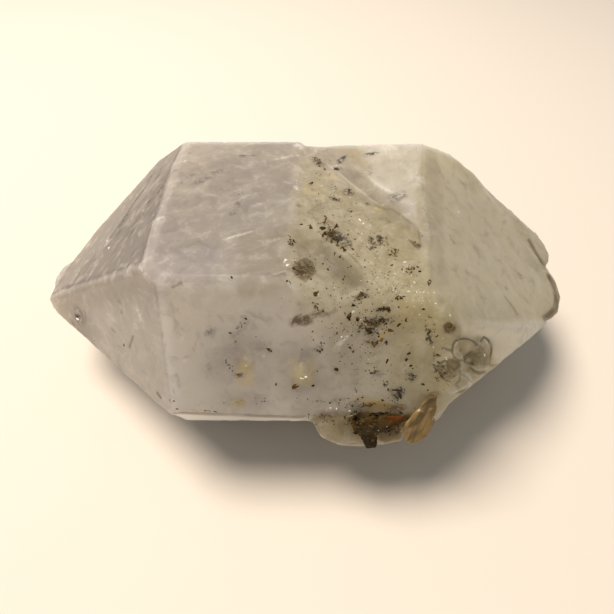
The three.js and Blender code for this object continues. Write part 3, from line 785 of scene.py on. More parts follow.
BROWN_STAINS = [
    (349, 193, 1.5, 1.3, 0, 0.7), (302, 320, 2.5, 1.2, 10, 1.0), (322, 313, 2.8, 0.8, 12, 0.6),
    (556, 298, 0.7, 2.6, 5, 0.9), (552, 312, 0.7, 1.6, -40, 0.8), (542, 262, 0.6, 1.2, -20, 0.8),
    (303, 268, 2.7, 2.2, 35, 0.6), (450, 328, 1.2, 1.2, 0, 0.85), (240, 375, 1.1, 0.4, 5, 1.0),
    (361, 296, 1.3, 0.7, 10, 0.5), (350, 210, 0.7, 0.8, 0, 0.6), (368, 204, 0.7, 0.8, 0, 0.6),
    (376, 240, 1.6, 1.2, 0, 0.35), (318, 162, 1.7, 1.3, 0, 0.4), (344, 245, 1.4, 1.0, -40, 0.7),
    (325, 222, 0.9, 1.6, 80, 0.6), (404, 356, 0.8, 0.8, 0, 0.4), (174, 158, 0.9, 0.8, 0, 0.3),
    (268, 351, 1.1, 0.6, -25, 0.5), (370, 340, 1.6, 0.9, 20, 0.5), (434, 395, 1.5, 0.9, 20, 0.6),
    (317, 349, 1.5, 0.7, 0, 0.5), (239, 403, 1.4, 0.9, 10, 0.45), (458, 362, 2.4, 2.0, 0, 0.45),
    (480, 352, 1.5, 1.7, 0, 0.35), (396, 409, 2.2, 1.0, 8, 0.9), (356, 412, 1.6, 0.7, 0, 0.7),
    (330, 413, 2.4, 0.8, 5, 0.6), (318, 418, 1.6, 0.8, -30, 0.5), (340, 430, 2.0, 1.2, 20, 0.3),
    (296, 388, 0.9, 0.6, -20, 0.9), (370, 334, 3.0, 1.6, 10, 0.3), (335, 236, 3.2, 1.8, -38, 0.4),
    (410, 268, 2.4, 1.4, 20, 0.25), (318, 162, 2.2, 1.6, -50, 0.4), (397, 396, 2.2, 1.2, 0, 0.4),
    (356, 421, 1.6, 1.1, 10, 1.0), (366, 432, 1.6, 1.8, 0, 0.7), (380, 440, 1.6, 0.8, 20, 0.6),
    (392, 430, 3.0, 1.8, 10, 0.5), (320, 416, 0.8, 0.6, 0, 1.0), (332, 420, 1.0, 0.8, 0, 0.6),
    (316, 428, 2.2, 0.9, -60, 0.35), (338, 400, 2.0, 0.6, 12, 0.5), (352, 403, 1.4, 0.5, 20, 0.7),
]
CREAM_STAINS = [
    (246, 372, 2.3, 1.9, 80, 1.0), (304, 373, 2.3, 2.6, 0, 1.0), (377, 208, 1.5, 0.5, -12, 1.0),
    (238, 403, 1.7, 1.1, 10, 0.75), (372, 403, 3.6, 1.1, -8, 1.0), (312, 188, 3.4, 2.6, -30, 0.5),
    (330, 176, 2.4, 2.0, -30, 0.4), (383, 333, 1.4, 0.9, 30, 0.7), (440, 385, 3.0, 2.0, 40, 0.5),
    (300, 365, 3.0, 2.4, 0, 0.35), (420, 310, 4.0, 4.0, 0, 0.35), (388, 147, 2.0, 0.8, -8, 0.5),
]
WHITE_VEILS_AND_GLINTS = [
    # the small white patches at (298, 146), (107, 243) and (80, 321) are painted glints
    (388, 148, 2.1, 0.8, -8, 1.0), (160, 218, 2.2, 0.5, 12, 0.7), (157, 222, 2.6, 0.8, 10, 0.4),
    (298, 146, 1.0, 0.7, 0, 1.0), (281, 158, 2.0, 0.6, 12, 0.8), (293, 156, 1.9, 0.5, 18, 0.7),
    (297, 188, 1.1, 0.7, -30, 0.7), (299, 181, 1.0, 0.5, -20, 0.6), (425, 215, 0.7, 7.0, 2, 0.45),
    (415, 175, 2.0, 4.0, 0, 0.45), (400, 180, 1.2, 4.0, 0, 0.25), (183, 337, 0.9, 0.4, 50, 0.8),
    (185, 361, 1.1, 0.4, 45, 0.7), (213, 346, 0.9, 0.3, 50, 0.7), (236, 236, 3.2, 0.3, 22, 0.8),
    (272, 240, 2.0, 0.35, 20, 0.5), (256, 205, 1.4, 0.5, 20, 0.5), (190, 252, 1.5, 1.2, 30, 0.35),
    (143, 272, 1.8, 1.0, -40, 0.6), (112, 318, 0.6, 1.9, 70, 0.6), (104, 331, 0.5, 1.2, 60, 0.5),
    (165, 400, 0.8, 3.0, 88, 0.35), (162, 340, 0.6, 7.5, 88, 0.3), (238, 337, 1.3, 0.25, 40, 0.5),
    (342, 341, 1.9, 0.25, 45, 0.9), (325, 347, 1.0, 0.25, 40, 0.6), (92, 272, 2.0, 0.5, 55, 0.8),
    (107, 243, 1.0, 0.6, 40, 0.9), (77, 274, 1.6, 0.5, 70, 0.9), (126, 214, 2.2, 0.3, 50, 0.6),
    (131, 266, 2.6, 0.4, 22, 0.5), (168, 165, 1.0, 0.3, 40, 0.5), (185, 161, 0.6, 0.5, 20, 0.8),
    (482, 250, 2.5, 2.0, 0, 0.2), (540, 292, 0.7, 2.4, 0, 0.35), (500, 335, 4.0, 2.0, 10, 0.3),
    (139, 314, 0.7, 2.2, 10, 0.9), (136, 327, 0.9, 1.2, 20, 0.6), (143, 322, 0.4, 1.6, 5, 0.6),
    (80, 321, 0.4, 0.3, 0, 1.0), (246, 362, 1.6, 1.1, 70, 0.7), (301, 366, 1.6, 0.8, 20, 0.5),
]
for name, places in {
    "smudge": SMUDGES, "brown": BROWN_STAINS, "cream": CREAM_STAINS, "veil_and_glint": WHITE_VEILS_AND_GLINTS,
}.items():
    patches = ground.blots(places)
    store(skin_mesh, name, patches)
    print(name, len(places), "patches on", int((patches > 0.05).sum()), "points")

# %% [markdown]
# ## Growth marks on the left pyramid
# The upper left face is covered with long marks that run along its outer edge, light beside
# dark. The plainest dark ones are among the smudges above. The others come from noise that is
# stretched along the face, a coarse one and a fine one, and they fade out in places.

# %% Stretched growth marks
STREAK_OUTLINE = [
    (60, 292), (72, 275), (172, 158), (168, 200), (152, 258), (140, 268), (100, 284), (68, 298),
]
STREAK_EDGE = 7  # pixels inside the outline, over which the marks come in
STREAK_LINE = ((75, 290), (165, 168))  # the way the marks run, between two pixels
LONG_STREAK = (4.2, 1.6)  # mm, long and wide
SHORT_STREAK = (1.8, 0.7)
SHORT_SHARE = 0.6  # strength of the short ones
STREAK_PLACES = (-0.6, 0.3)  # of the coarse noise, over which the marks come in
STREAK_STEEPNESS = 0.9  # how fast the finer detail of the noise fades

start, end = [seen(skin_surface, *pixel)[0] for pixel in STREAK_LINE]
_, face_normal = seen(skin_surface, *UPPER_LEFT_SPOT)
along = (end - start).normalized()
beside = face_normal.cross(along)


def stretched_noise(points, long_mm, short_mm, seed):
    """Noise whose lumps are long in the way the marks run and short across it."""
    a = (points @ np.array(along)) / (long_mm * MM)
    b = (points @ np.array(beside)) / (short_mm * MM)
    c = (points @ np.array(face_normal)) / (long_mm * MM)
    stretched = np.stack([a, b, c], axis=1) + seed
    return np.array([noise.fractal(p, STREAK_STEEPNESS, 2.0, 3) for p in stretched.tolist()])


streaks = stretched_noise(ground.points, *LONG_STREAK, seed=3.7)
streaks += SHORT_SHARE * stretched_noise(ground.points, *SHORT_STREAK, seed=8.1)
streaks *= smoothstep(depth_inside(ground.pixels, STREAK_OUTLINE), 0, STREAK_EDGE) * upper_left_shade
streaks *= smoothstep(ground.coarse_ragged, *STREAK_PLACES)
store(skin_mesh, "streak", streaks)
print("streaks between", round(float(streaks.min()), 2), "and", round(float(streaks.max()), 2))

# %% [markdown]
# ## Worn edges
# Edges of a rough gem are bruised, so they scatter light. They are less glossy, and in places a little
# paler; that paleness is partly a painted highlight along the edges.

# %% Wear along the edges
NEAR_EDGE_FADE = (0.6, 1.3)  # mm from an edge
WORN_FADE = (0.1, 0.6)  # mm
WORN_FRAY = 0.3  # mm
WORN_PLACES = (-0.3, 0.5)  # of the coarse noise, over which the wear comes in

near_edge = 1 - smoothstep(edge_distance, *NEAR_EDGE_FADE)
worn = 1 - smoothstep(edge_distance + WORN_FRAY * ground.ragged, *WORN_FADE)
worn *= smoothstep(ground.coarse_ragged, *WORN_PLACES)
store(skin_mesh, "near_edge", near_edge)
store(skin_mesh, "worn", worn * (1 - crust))
print("worn points:", int((worn > 0.5).sum()))

# %% [markdown]
# ## Relief
# Sand grains stand in the crust, the growth marks are shallow grooves, and no natural face is
# quite flat. The skin is moved along its normals by tenths of a millimetre, and by a tenth at
# most outwards, so that nothing grows beyond the solid. The small clear crystal is broken into
# short faces, each tilted its own way, and is cut the deepest.

# %% Facets of the small clear crystal
FACET_SIZE = 3.2 * MM
TILT_SEED = 7.7
TONE_SEED = 3.3


def facet_at(place):
    """The height of a surface broken into flat facets, each tilted its own way, and a random tone for each
    facet, painted shade in place of the shading of its tilt.
    """
    cell = noise.voronoi(place)[1][0]
    tilt = noise.cell_vector(cell * TILT_SEED) - Vector((0.5, 0.5, 0.5))
    return (Vector(place) - cell).dot(tilt), noise.cell(cell * TONE_SEED)


# the random tone of each facet of the small crystal is painted shade, standing in for the shading of its
# tilt
facets, facet_shades = np.array([facet_at(p) for p in (ground.points / FACET_SIZE).tolist()]).T
store(skin_mesh, "facet_painted_shade", regions["small_crystal"] * facet_shades)
print("facet heights between", round(float(facets.min()), 2), "and", round(float(facets.max()), 2))

# %% Move the skin
# all in mm
CRUST_RELIEF = 0.2
CRUST_LUMPS = 1.7  # size across
GRIT_RELIEF = 0.09
GRIT_SIZE = 0.8
STREAK_RELIEF = 0.035
FACE_RELIEF = 0.04
FACE_WAVES = 5  # size across
CHIP_DEPTH = 0.1  # of small chips along the edges
CHIP_REACH = (0.1, 0.8)  # from an edge
CHIP_PLACES = (0.1, 0.5)  # of the fine noise, over which the chips come in
LINE_RELIEF = 0.05
FACET_RELIEF = 1.3
FACET_SUNK = 0.3  # taken off every facet's height, so that the facets cut into the crystal
MOST_LIFT = 0.12  # outwards

points = ground.points
lift = CRUST_RELIEF * rough_noise(points, CRUST_LUMPS, seed=9, octaves=4)
lift = crust * (lift - GRIT_RELIEF * grit_noise(points, GRIT_SIZE))
lift += STREAK_RELIEF * streaks + FACE_RELIEF * rough_noise(points, FACE_WAVES, seed=4)
chipped = smoothstep(ground.ragged, *CHIP_PLACES)
lift -= CHIP_DEPTH * (1 - smoothstep(edge_distance, *CHIP_REACH)) * chipped
lift += LINE_RELIEF * (regions["pale_line"] - regions["dark_line_and_shadow"])
lift += FACET_RELIEF * regions["small_crystal"] * (facets - FACET_SUNK)
moved = points + np.minimum(lift, MOST_LIFT)[:, None] * MM * ground.normals
moved[:, 2] = np.maximum(moved[:, 2], 0)  # nothing reaches below the face it rests on
skin_mesh.vertices.foreach_set("co", moved.ravel())
skin_mesh.update()
skin_mesh.shade_smooth()
skin = link_piece("crystal_pair_skin", skin_mesh)
print("relief from", round(float(lift.min()), 2), "to", round(float(lift.max()), 2), "mm")

# %% [markdown]
# ## Milky quartz
# Quartz is clear, and this one is full of tiny fluid bubbles, which make it milky. Light goes
# some way in and comes out again elsewhere. A mix does that: part of the surface is clear with
# a plain transmission, and the rest scatters under the surface. The index of refraction of
# quartz is 1.544. Its clouds are noise at real sizes: wide ones of 14 mm, wisps of 8 mm and
# mottling of 2.4 mm. On three faces the milk is drawn out into veils.

# %% Masks and clouds of the milky quartz
# each cloud's size in mm, detail, roughness and distortion
CLOUDS = {
    "wide": (14, 5, 0.5, 0.8),
    "wisp": (8, 6, 0.5, 1.6),
    "mottle": (2.4, 5, 0.65, 0.6),
    "sand": (1.1, 4, 0.7, 0.0),
    "speck": (0.5, 3, 0.6, 0.0),
    "dust": (0.9, 5, 0.75, 0.4),
}
# each veil's turn in degrees, its length and its width in mm, and one depth for all
VEILS = {"top_veil": (24, 6.0, 2.2), "upright_veil": (3, 2.6, 9.0), "point_veil": (-42, 7.0, 3.0)}
VEIL_DEPTH = 9
PATCH_MASKS = ("smudge", "brown", "cream", "veil_and_glint", "streak", "near_edge", "worn", "dusty", "facet_painted_shade")

# milky quartz with flat growth faces: glassy where it is whole, dull where it is bruised
cloudy, tree, out = new_material("cloudy_quartz")
place = add(tree, "ShaderNodeTexCoord").outputs["Object"]
side = add(tree, "ShaderNodeSeparateXYZ", {0: place}).outputs["X"]
mask = {}
for name in (*regions, *PATCH_MASKS):
    mask[name] = add(tree, "ShaderNodeAttribute", attribute_name=name).outputs["Fac"]
cloud = {}
for name, (size_mm, detail, rough, twist) in CLOUDS.items():
    inputs = {"Vector": place, "Scale": 1 / (size_mm * MM), "Detail": detail}
    inputs |= {"Roughness": rough, "Distortion": twist}
    cloud[name] = add(tree, "ShaderNodeTexNoise", inputs).outputs["Fac"]
for name, (turn, *sizes) in VEILS.items():
    stretch = [size * MM for size in (*sizes, VEIL_DEPTH)]
    inputs = {"Vector": place, "Rotation": (0, 0, math.radians(turn)), "Scale": stretch}
    drawn_out = add(tree, "ShaderNodeMapping", inputs, vector_type="TEXTURE").outputs[0]
    inputs = {"Vector": drawn_out, "Scale": 1.0, "Detail": 6.0, "Roughness": 0.6, "Distortion": 1.2}
    cloud[name] = add(tree, "ShaderNodeTexNoise", inputs).outputs["Fac"]
wisp_side = add(tree, "ShaderNodeMath", {0: cloud["wisp"], 1: 0.5}, operation="SUBTRACT").outputs[0]
cloud["wisp_line"] = add(tree, "ShaderNodeMath", {0: wisp_side}, operation="ABSOLUTE").outputs[0]
print(len(mask), "masks and", len(cloud), "clouds")

# %% [markdown]
# Noise breaks the masks up, so that no patch is even. Dust comes in flecks: the dustier a zone
# is, the lower the level that the noise has to pass there.

# %% Masks broken up by noise
# each one's mask and cloud, and the cloud's level where it is gone and where it is full
BROKEN_UP = {
    "smudge": ("smudge", "speck", 0.7, 0.44),
    "brown": ("brown", "speck", 0.7, 0.4),
    "cream": ("cream", "mottle", 0.75, 0.4),
    "veil_and_glint": ("veil_and_glint", "speck", 0.72, 0.4),
    "sandy": ("crust", "sand", 0.48, 0.72),
    "pale_sand": ("crust", "sand", 0.5, 0.3),
    "upright_veil": ("upright", "upright_veil", 0.5, 0.7),
    "point_gap": ("right_painted_light", "point_veil", 0.5, 0.3),
    "top_veil": ("first_top", "top_veil", 0.5, 0.72),
    "top_gap": ("first_top", "top_veil", 0.48, 0.28),
    "plate_stain": ("plate_stain", "speck", 0.78, 0.5),
}
DUST_LEVELS = (0.75, 0.79, 0.83)  # where brown dust starts, where it is full, where dark dust is
DUSTY_DROP = -0.29  # of these levels in the dustiest zones

for name, (of_mask, of_cloud, gone, full) in BROKEN_UP.items():
    inputs = {"Value": cloud[of_cloud], "From Min": gone, "From Max": full}
    share = add(tree, "ShaderNodeMapRange", inputs, interpolation_type="SMOOTHSTEP").outputs[0]
    inputs = {0: mask[of_mask], 1: share}
    mask[name] = add(tree, "ShaderNodeMath", inputs, operation="MULTIPLY").outputs[0]
dust_edges = []
for level in DUST_LEVELS:
    inputs = {0: mask["dusty"], 1: DUSTY_DROP, 2: level}
    edge = add(tree, "ShaderNodeMath", inputs, operation="MULTIPLY_ADD")
    dust_edges.append(edge.outputs[0])
print(len(BROKEN_UP), "masks broken up")

# %% Colours of the milky quartz
body = layered(tree, "aea496", [
    ("958c8e", cloud["wide"], 0.42, 0.68, 0.4),
    ("cbc2b3", cloud["wide"], 0.5, 0.3, 0.4),
    # painted light: pale tint on faces turned to the front
    ("e4dccf", mask["front_painted_light"], 0.0, 1.0, 0.8),
    # painted light: pale tint on faces turned to the right
    ("e8e0d3", mask["right_painted_light"], 0.0, 1.0, 0.85),
    ("c4b67c", side, -8 * MM, 20 * MM, 0.45),
    ("9a8e84", side, -28 * MM, -45 * MM, 0.3),
    # painted shade: the upper face of the left pyramid
    ("6a615a", mask["upper_left_shade"], 0.0, 1.0, 0.85),
    # painted shade: the left front face, strongest beside a bright edge
    ("877c6e", mask["left_front_painted_shade"], 0.0, 3.0, 0.45),
    ("8f8468", mask["near_crust"], 0.0, 1.0, 0.4),
    ("877d66", mask["ridge_side"], 0.0, 1.0, 0.3),
    ("cfcac2", mask["upright"], 0.0, 1.0, 0.45),
    # painted shade: the wall where it turns towards the lamp
    ("9c9388", mask["wall"], 0.0, 1.0, 0.45),
    # painted light: the second crystal's front face
    ("f0e8d6", mask["second_front_light"], 0.0, 1.0, 0.8),
    ("aa9a5a", mask["right_low"], 0.0, 1.0, 0.35),
    ("b09a5e", mask["small_crystal"], 0.0, 1.0, 0.65),
    # painted shade: a random tone on each facet of the small crystal
    ("5e4a26", mask["facet_painted_shade"], 0.2, 0.6, 0.6),
    ("7c6236", mask["tan"], 0.0, 1.0, 0.75),
    # the hollow: olive of clearer quartz, and painted shade in the recess
    ("776a3e", mask["hollow"], 0.0, 1.0, 0.5),
    ("e9e2d6", cloud["wisp_line"], 0.006, 0.0, 0.08),
    ("857b70", cloud["mottle"], 0.5, 0.7, 0.35),
    ("e2dacd", cloud["mottle"], 0.5, 0.32, 0.35),
    ("ded6ca", mask["top_veil"], 0.0, 1.0, 0.14),
    ("8f857c", mask["top_gap"], 0.0, 1.0, 0.15),
    ("938a7c", mask["point_gap"], 0.0, 1.0, 0.15),
    ("eee8dd", mask["upright_veil"], 0.0, 1.0, 0.3),
    ("d6cdc0", mask["streak"], 0.1, 0.7, 0.25),
    ("5c544c", mask["streak"], -0.05, -0.7, 0.5),
    # worn edges, partly a painted highlight
    ("e9e2d6", mask["worn"], 0.0, 1.0, 0.1),
    ("a39870", mask["crust"], 0.0, 1.0, 0.45),
    ("7a6f4c", mask["sandy"], 0.0, 1.0, 0.4),
    ("dcd4bc", mask["pale_sand"], 0.0, 1.0, 0.25),
    # painted light: the strip under the first crystal's front edge
    ("fbf6ea", mask["lit_sliver"], 0.0, 1.0, 1.0),
    ("6a5a38", mask["plate_stain"], 0.0, 1.0, 0.9),
    # white veils, and a few painted glints
    ("f3efe3", mask["veil_and_glint"], 0.0, 1.0, 0.6),
    ("f3efe3", mask["pale_line"], 0.0, 1.0, 0.6),
    ("d2bf84", mask["cream"], 0.0, 1.0, 0.7),
    ("b08a3a", mask["ochre"], 0.0, 1.0, 0.6),
    ("664410", mask["brown"], 0.0, 1.0, 0.78),
    ("3e3a34", mask["smudge"], 0.0, 1.0, 1.0),
    # dark lines, among them painted shadows
    ("5c4c2c", mask["dark_line_and_shadow"], 0.0, 1.0, 0.8),
    # painted shade: the rim of the second crystal's point
    ("5a4a30", mask["tip_rim_shade"], 0.0, 1.0, 0.7),
    ("6a5630", cloud["dust"], dust_edges[0], dust_edges[1], 0.55),
    ("2e2614", cloud["dust"], dust_edges[1], dust_edges[2], 0.8),
])
print("milky quartz so far:", len(tree.nodes), "nodes")

# %% Shine and depth of the milky quartz
QUARTZ_IOR = 1.544
LIGHT_REACH = 22 * MM  # how far light goes under the surface
LIGHT_TINT = (1.0, 0.93, 0.8)  # red light goes farthest
HAZE_DENSITY = 14.0
GRIT_BUMP = 0.25 * MM
# each socket's value on plain faces, and what each mask adds to it
VARIED = {
    "Roughness": (0.3, {"crust": -0.04, "near_edge": 0.5, "wall": 0.2, "hollow": 0.05, "smudge": 0.4}),
    "Transmission Weight": (0.3, {"crust": -0.1, "hollow": 0.1, "small_crystal": 0.2, "upright": -0.1}),
}


def dress(mesh, material):
    """Gives a mesh one material in place of what it had."""
    mesh.materials.clear()
    mesh.materials.append(material)


varied = {}
for socket, (value, additions) in VARIED.items():
    for driver, most in additions.items():
        inputs = {0: mask[driver], 1: most, 2: value}
        value = add(tree, "ShaderNodeMath", inputs, operation="MULTIPLY_ADD").outputs[0]
    varied[socket] = value
inputs = {0: cloud["sand"], 1: mask["crust"]}
grit_height = add(tree, "ShaderNodeMath", inputs, operation="MULTIPLY").outputs[0]
bump = add(tree, "ShaderNodeBump", {"Strength": 0.4, "Distance": GRIT_BUMP, "Height": grit_height})
inputs = {"Base Color": body, "IOR": QUARTZ_IOR, "Normal": bump.outputs[0]} | varied
inputs |= {"Subsurface Weight": 1.0, "Subsurface Radius": LIGHT_TINT, "Subsurface Scale": LIGHT_REACH}
shell = add(tree, "ShaderNodeBsdfPrincipled", inputs)
tree.links.new(shell.outputs[0], out.inputs["Surface"])
haze = add(tree, "ShaderNodeVolumeAbsorption", {"Color": linear("d9d3c4"), "Density": HAZE_DENSITY})
tree.links.new(haze.outputs[0], out.inputs["Volume"])
dress(skin_mesh, cloudy)
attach(skin, "root")
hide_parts("crystal_pair")
print("cloudy quartz:", len(tree.nodes), "nodes")

# %% [markdown]
# ## The stained crystal
# A small crystal leans against the clear one and is stained brown by iron, which soaked in from
# its rim along growth lines. It gets a net of its own, soft edges and shallow grooves.

# %% Net and relief of the stained crystal
STAINED_STEP = 0.2 * MM
STAINED_SOFT = (0.28, 0.7)  # mm from an edge, over which points stop moving
STAINED_ROUNDS = 5
GROOVE_DEPTH = 0.04  # mm
GROOVE_SPACING = 0.7 * MM
GROOVE_WAY = np.array([math.cos(0.5), -math.sin(0.5), 0.0])  # across the grooves
GROOVE_WANDER = 0.4
STAINED_SUNK = 0.03  # mm, so that the grooves cut into the crystal
STAIN_EDGE = {"soft": 2.5, "wander": 2}  # pixels
STAINED_RIM_OUTLINE = [(408, 402), (420, 391), (437, 393), (438, 408), (431, 420), (428, 408), (415, 409)]
DEEP_STAINS = [
    (418, 420, 2.0, 0.8, 60, 1.0), (428, 402, 1.8, 0.8, 20, 0.9), (412, 436, 1.6, 0.5, 60, 0.8),
    (424, 412, 1.6, 0.5, 65, 0.8), (404, 424, 1.0, 0.5, 60, 0.6), (420, 432, 1.4, 0.4, 60, 0.7),
]
# pale flecks; the ones at (418, 410) and (431, 409) are painted glints
PALE_FLECKS_AND_GLINTS = [
    (418, 410, 0.8, 0.3, -20, 1.0), (431, 409, 0.5, 0.4, 0, 0.8), (408, 430, 0.7, 0.5, 30, 0.5),
]


def softened_net(node_name, step, edge_fade, rounds):
    """A CAD node's net with its edges made soft."""
    mesh = remeshed(node_name, step)
    away = distance_to_edges(points_of(mesh), edge_points(node_name))
    soften(mesh, HALF_WAY * (1 - smoothstep(away, *edge_fade)), rounds)
    return mesh


def move_along_normals(piece_ground, lift_mm):
    """Moves a piece's points outwards by some mm each, but not below the table."""
    moved = piece_ground.points + lift_mm[:, None] * MM * piece_ground.normals
    moved[:, 2] = np.maximum(moved[:, 2], 0)
    piece_ground.mesh.vertices.foreach_set("co", moved.ravel())
    piece_ground.mesh.update()
    piece_ground.mesh.shade_smooth()


stained = Ground(softened_net("stained_crystal", STAINED_STEP, STAINED_SOFT, STAINED_ROUNDS))
whole_surface = surface_tree([skin_mesh, stained.mesh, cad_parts["clay_fill"].data])
grooves = stained.points @ GROOVE_WAY / GROOVE_SPACING + GROOVE_WANDER * stained.coarse_ragged
lift = GROOVE_DEPTH * (np.sin(2 * math.pi * grooves) + stained.ragged)
move_along_normals(stained, lift - STAINED_SUNK)
store(stained.mesh, "rim", stained.region(STAINED_RIM_OUTLINE, **STAIN_EDGE))
store(stained.mesh, "deep", stained.blots(DEEP_STAINS))
store(stained.mesh, "pale", stained.blots(PALE_FLECKS_AND_GLINTS))
print("stained crystal:", len(stained.points), "points")

# %% The iron-stained quartz material
BLOTCH_SIZE = 2 * MM
SPECK_SIZE = 0.4 * MM
GROWTH_LINE = (5 * MM, 0.7 * MM, 5 * MM)  # size of the growth lines: long, narrow and deep
GROWTH_TURN = 1.07  # radians from the long axis of the large crystals

# quartz whose skin is soaked with iron oxide: brown, satin, hardly see-through any more
iron, tree, out = new_material("iron_stained_quartz")
place = add(tree, "ShaderNodeTexCoord").outputs["Object"]
mask = {}
for name in ("rim", "deep", "pale"):
    mask[name] = add(tree, "ShaderNodeAttribute", attribute_name=name).outputs["Fac"]
inputs = {"Vector": place, "Scale": 1 / BLOTCH_SIZE, "Detail": 5.0}
blotches = add(tree, "ShaderNodeTexNoise", inputs).outputs["Fac"]
inputs = {"Vector": place, "Scale": 1 / SPECK_SIZE, "Detail": 3.0}
specks = add(tree, "ShaderNodeTexNoise", inputs).outputs["Fac"]
inputs = {"Vector": place, "Rotation": (0, 0, GROWTH_TURN), "Scale": GROWTH_LINE}
drawn_out = add(tree, "ShaderNodeMapping", inputs, vector_type="TEXTURE").outputs[0]
inputs = {"Vector": drawn_out, "Scale": 1.0, "Detail": 3.0}
growth = add(tree, "ShaderNodeTexNoise", inputs).outputs["Fac"]
stain_colour = layered(tree, "a68650", [
    ("6a4f26", blotches, 0.48, 0.66, 0.6),
    ("a48c5c", blotches, 0.48, 0.3, 0.5),
    ("5e4626", growth, 0.5, 0.7, 0.5),
    ("3e2e14", specks, 0.6, 0.75, 0.5),
    ("5e421c", mask["rim"], 0.0, 1.0, 0.55),
    ("4a4220", mask["deep"], 0.0, 1.0, 0.6),
    # pale flecks and painted glints
    ("cdb98c", mask["pale"], 0.0, 1.0, 0.6),
])
inputs = {"Base Color": stain_colour, "Roughness": 0.8, "IOR": QUARTZ_IOR, "Transmission Weight": 0.1}
inputs |= {"Subsurface Weight": 0.3, "Subsurface Radius": (1.0, 0.8, 0.6), "Subsurface Scale": 2 * MM}
tree.links.new(add(tree, "ShaderNodeBsdfPrincipled", inputs).outputs[0], out.inputs["Surface"])
dress(stained.mesh, iron)
stained_piece = link_piece("stained_crystal_skin", stained.mesh)
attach(stained_piece, "root")
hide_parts("stained_crystal")
print("iron-stained quartz:", len(tree.nodes), "nodes")

# %% [markdown]
# ## The clay
# Dark clay was pressed into the cleft between the small crystals and dried there. It is matt
# and crumbly, nearly black in its tail and rusty at its right end.

# %% Net and relief of the clay
CLAY_STEP = 0.18 * MM
CLAY_SOFT = (0.32, 0.8)  # mm from an edge, over which points stop moving
CLAY_ROUNDS = 8
# height and size across of the lumps and the crumbs, in mm
LUMP_HEIGHT = 0.22
LUMP_SIZE = 1.9
CRUMB_HEIGHT = 0.12
CRUMB_SIZE = 0.6
RUSTY_OUTLINE = [(384, 405), (408, 405), (408, 422), (392, 424), (384, 416)]
TAIL_OUTLINE = [(356, 426), (386, 426), (386, 452), (356, 452)]

clay = Ground(softened_net("clay_fill", CLAY_STEP, CLAY_SOFT, CLAY_ROUNDS))
lift = LUMP_HEIGHT * rough_noise(clay.points, LUMP_SIZE, seed=6, octaves=4)
lift -= CRUMB_HEIGHT * grit_noise(clay.points, CRUMB_SIZE)
move_along_normals(clay, lift)
store(clay.mesh, "rusty", clay.region(RUSTY_OUTLINE, **STAIN_EDGE))
store(clay.mesh, "tail", clay.region(TAIL_OUTLINE, **STAIN_EDGE))
print("clay:", len(clay.points), "points")

# %% The dried clay material
CLAY_CLOUD = 1.8 * MM
CLAY_GRAIN = 0.35 * MM

# dry clay with some organic matter: dull, nearly black, with no shine at all
mud, tree, out = new_material("dry_dark_clay")
place = add(tree, "ShaderNodeTexCoord").outputs["Object"]
rusty = add(tree, "ShaderNodeAttribute", attribute_name="rusty").outputs["Fac"]
tail = add(tree, "ShaderNodeAttribute", attribute_name="tail").outputs["Fac"]
inputs = {"Vector": place, "Scale": 1 / CLAY_CLOUD, "Detail": 5.0}
lumps = add(tree, "ShaderNodeTexNoise", inputs).outputs["Fac"]
inputs = {"Vector": place, "Scale": 1 / CLAY_GRAIN, "Detail": 3.0}
crumbs = add(tree, "ShaderNodeTexNoise", inputs).outputs["Fac"]
mud_colour = layered(tree, "4c3818", [
    ("221808", lumps, 0.45, 0.6, 0.85),
    ("604c28", lumps, 0.42, 0.3, 0.5),
    ("643410", rusty, 0.0, 1.0, 0.85),
    ("3a3226", tail, 0.0, 1.0, 0.5),
    ("17110a", crumbs, 0.55, 0.7, 0.6),
    ("75623c", crumbs, 0.38, 0.27, 0.3),
])
bump = add(tree, "ShaderNodeBump", {"Strength": 0.5, "Distance": 0.12 * MM, "Height": crumbs})
inputs = {"Base Color": mud_colour, "Roughness": 0.95, "IOR": 1.25, "Normal": bump.outputs[0]}
tree.links.new(add(tree, "ShaderNodeBsdfPrincipled", inputs).outputs[0], out.inputs["Surface"])
dress(clay.mesh, mud)
clay_piece = link_piece("clay_plug", clay.mesh)
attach(clay_piece, "root")
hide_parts("clay_fill")
whole_surface = surface_tree([skin_mesh, stained.mesh, clay.mesh])
print("dried clay:", len(tree.nodes), "nodes")

# %% [markdown]
# ## Mineral grains
# Dark flakes of dolomite and hydrocarbon lie in the surface, one by one and in clusters. Each is
# an angular lump of twenty faces, longer than wide and rather flat. A Geometry Nodes tree puts
# one on every point of a cloud, flat side to the surface and turned at random, reads its size
# and its tone from the point and tears its outline with noise.

# %% The tree that puts a grain on each point


def geometry_tree(name, extra):
    """A Geometry Nodes tree with a geometry input and output and extra named inputs."""
    tree = bpy.data.node_groups.new(name, "GeometryNodeTree")
    tree.interface.new_socket("Geometry", in_out="INPUT", socket_type="NodeSocketGeometry")
    for label, kind in extra.items():
        tree.interface.new_socket(label, in_out="INPUT", socket_type=kind)
    tree.interface.new_socket("Geometry", in_out="OUTPUT", socket_type="NodeSocketGeometry")
    return tree, add(tree, "NodeGroupInput").outputs, add(tree, "NodeGroupOutput")


def with_tree(piece, tree, values):
    """Puts a tree on a piece, with its inputs set by their identifiers."""
    modifier = piece.modifiers.new(tree.name, "NODES")
    modifier.node_group = tree
    for item in tree.interface.items_tree:
        if item.in_out == "INPUT" and item.name in values:
            modifier[item.identifier] = values[item.name]


def made_plain(piece, name):
    """The piece's modifiers worked into a plain mesh piece of that name, which takes its place."""
    plain = link_piece(name, evaluated_mesh(piece))
    bpy.data.objects.remove(piece)
    return plain


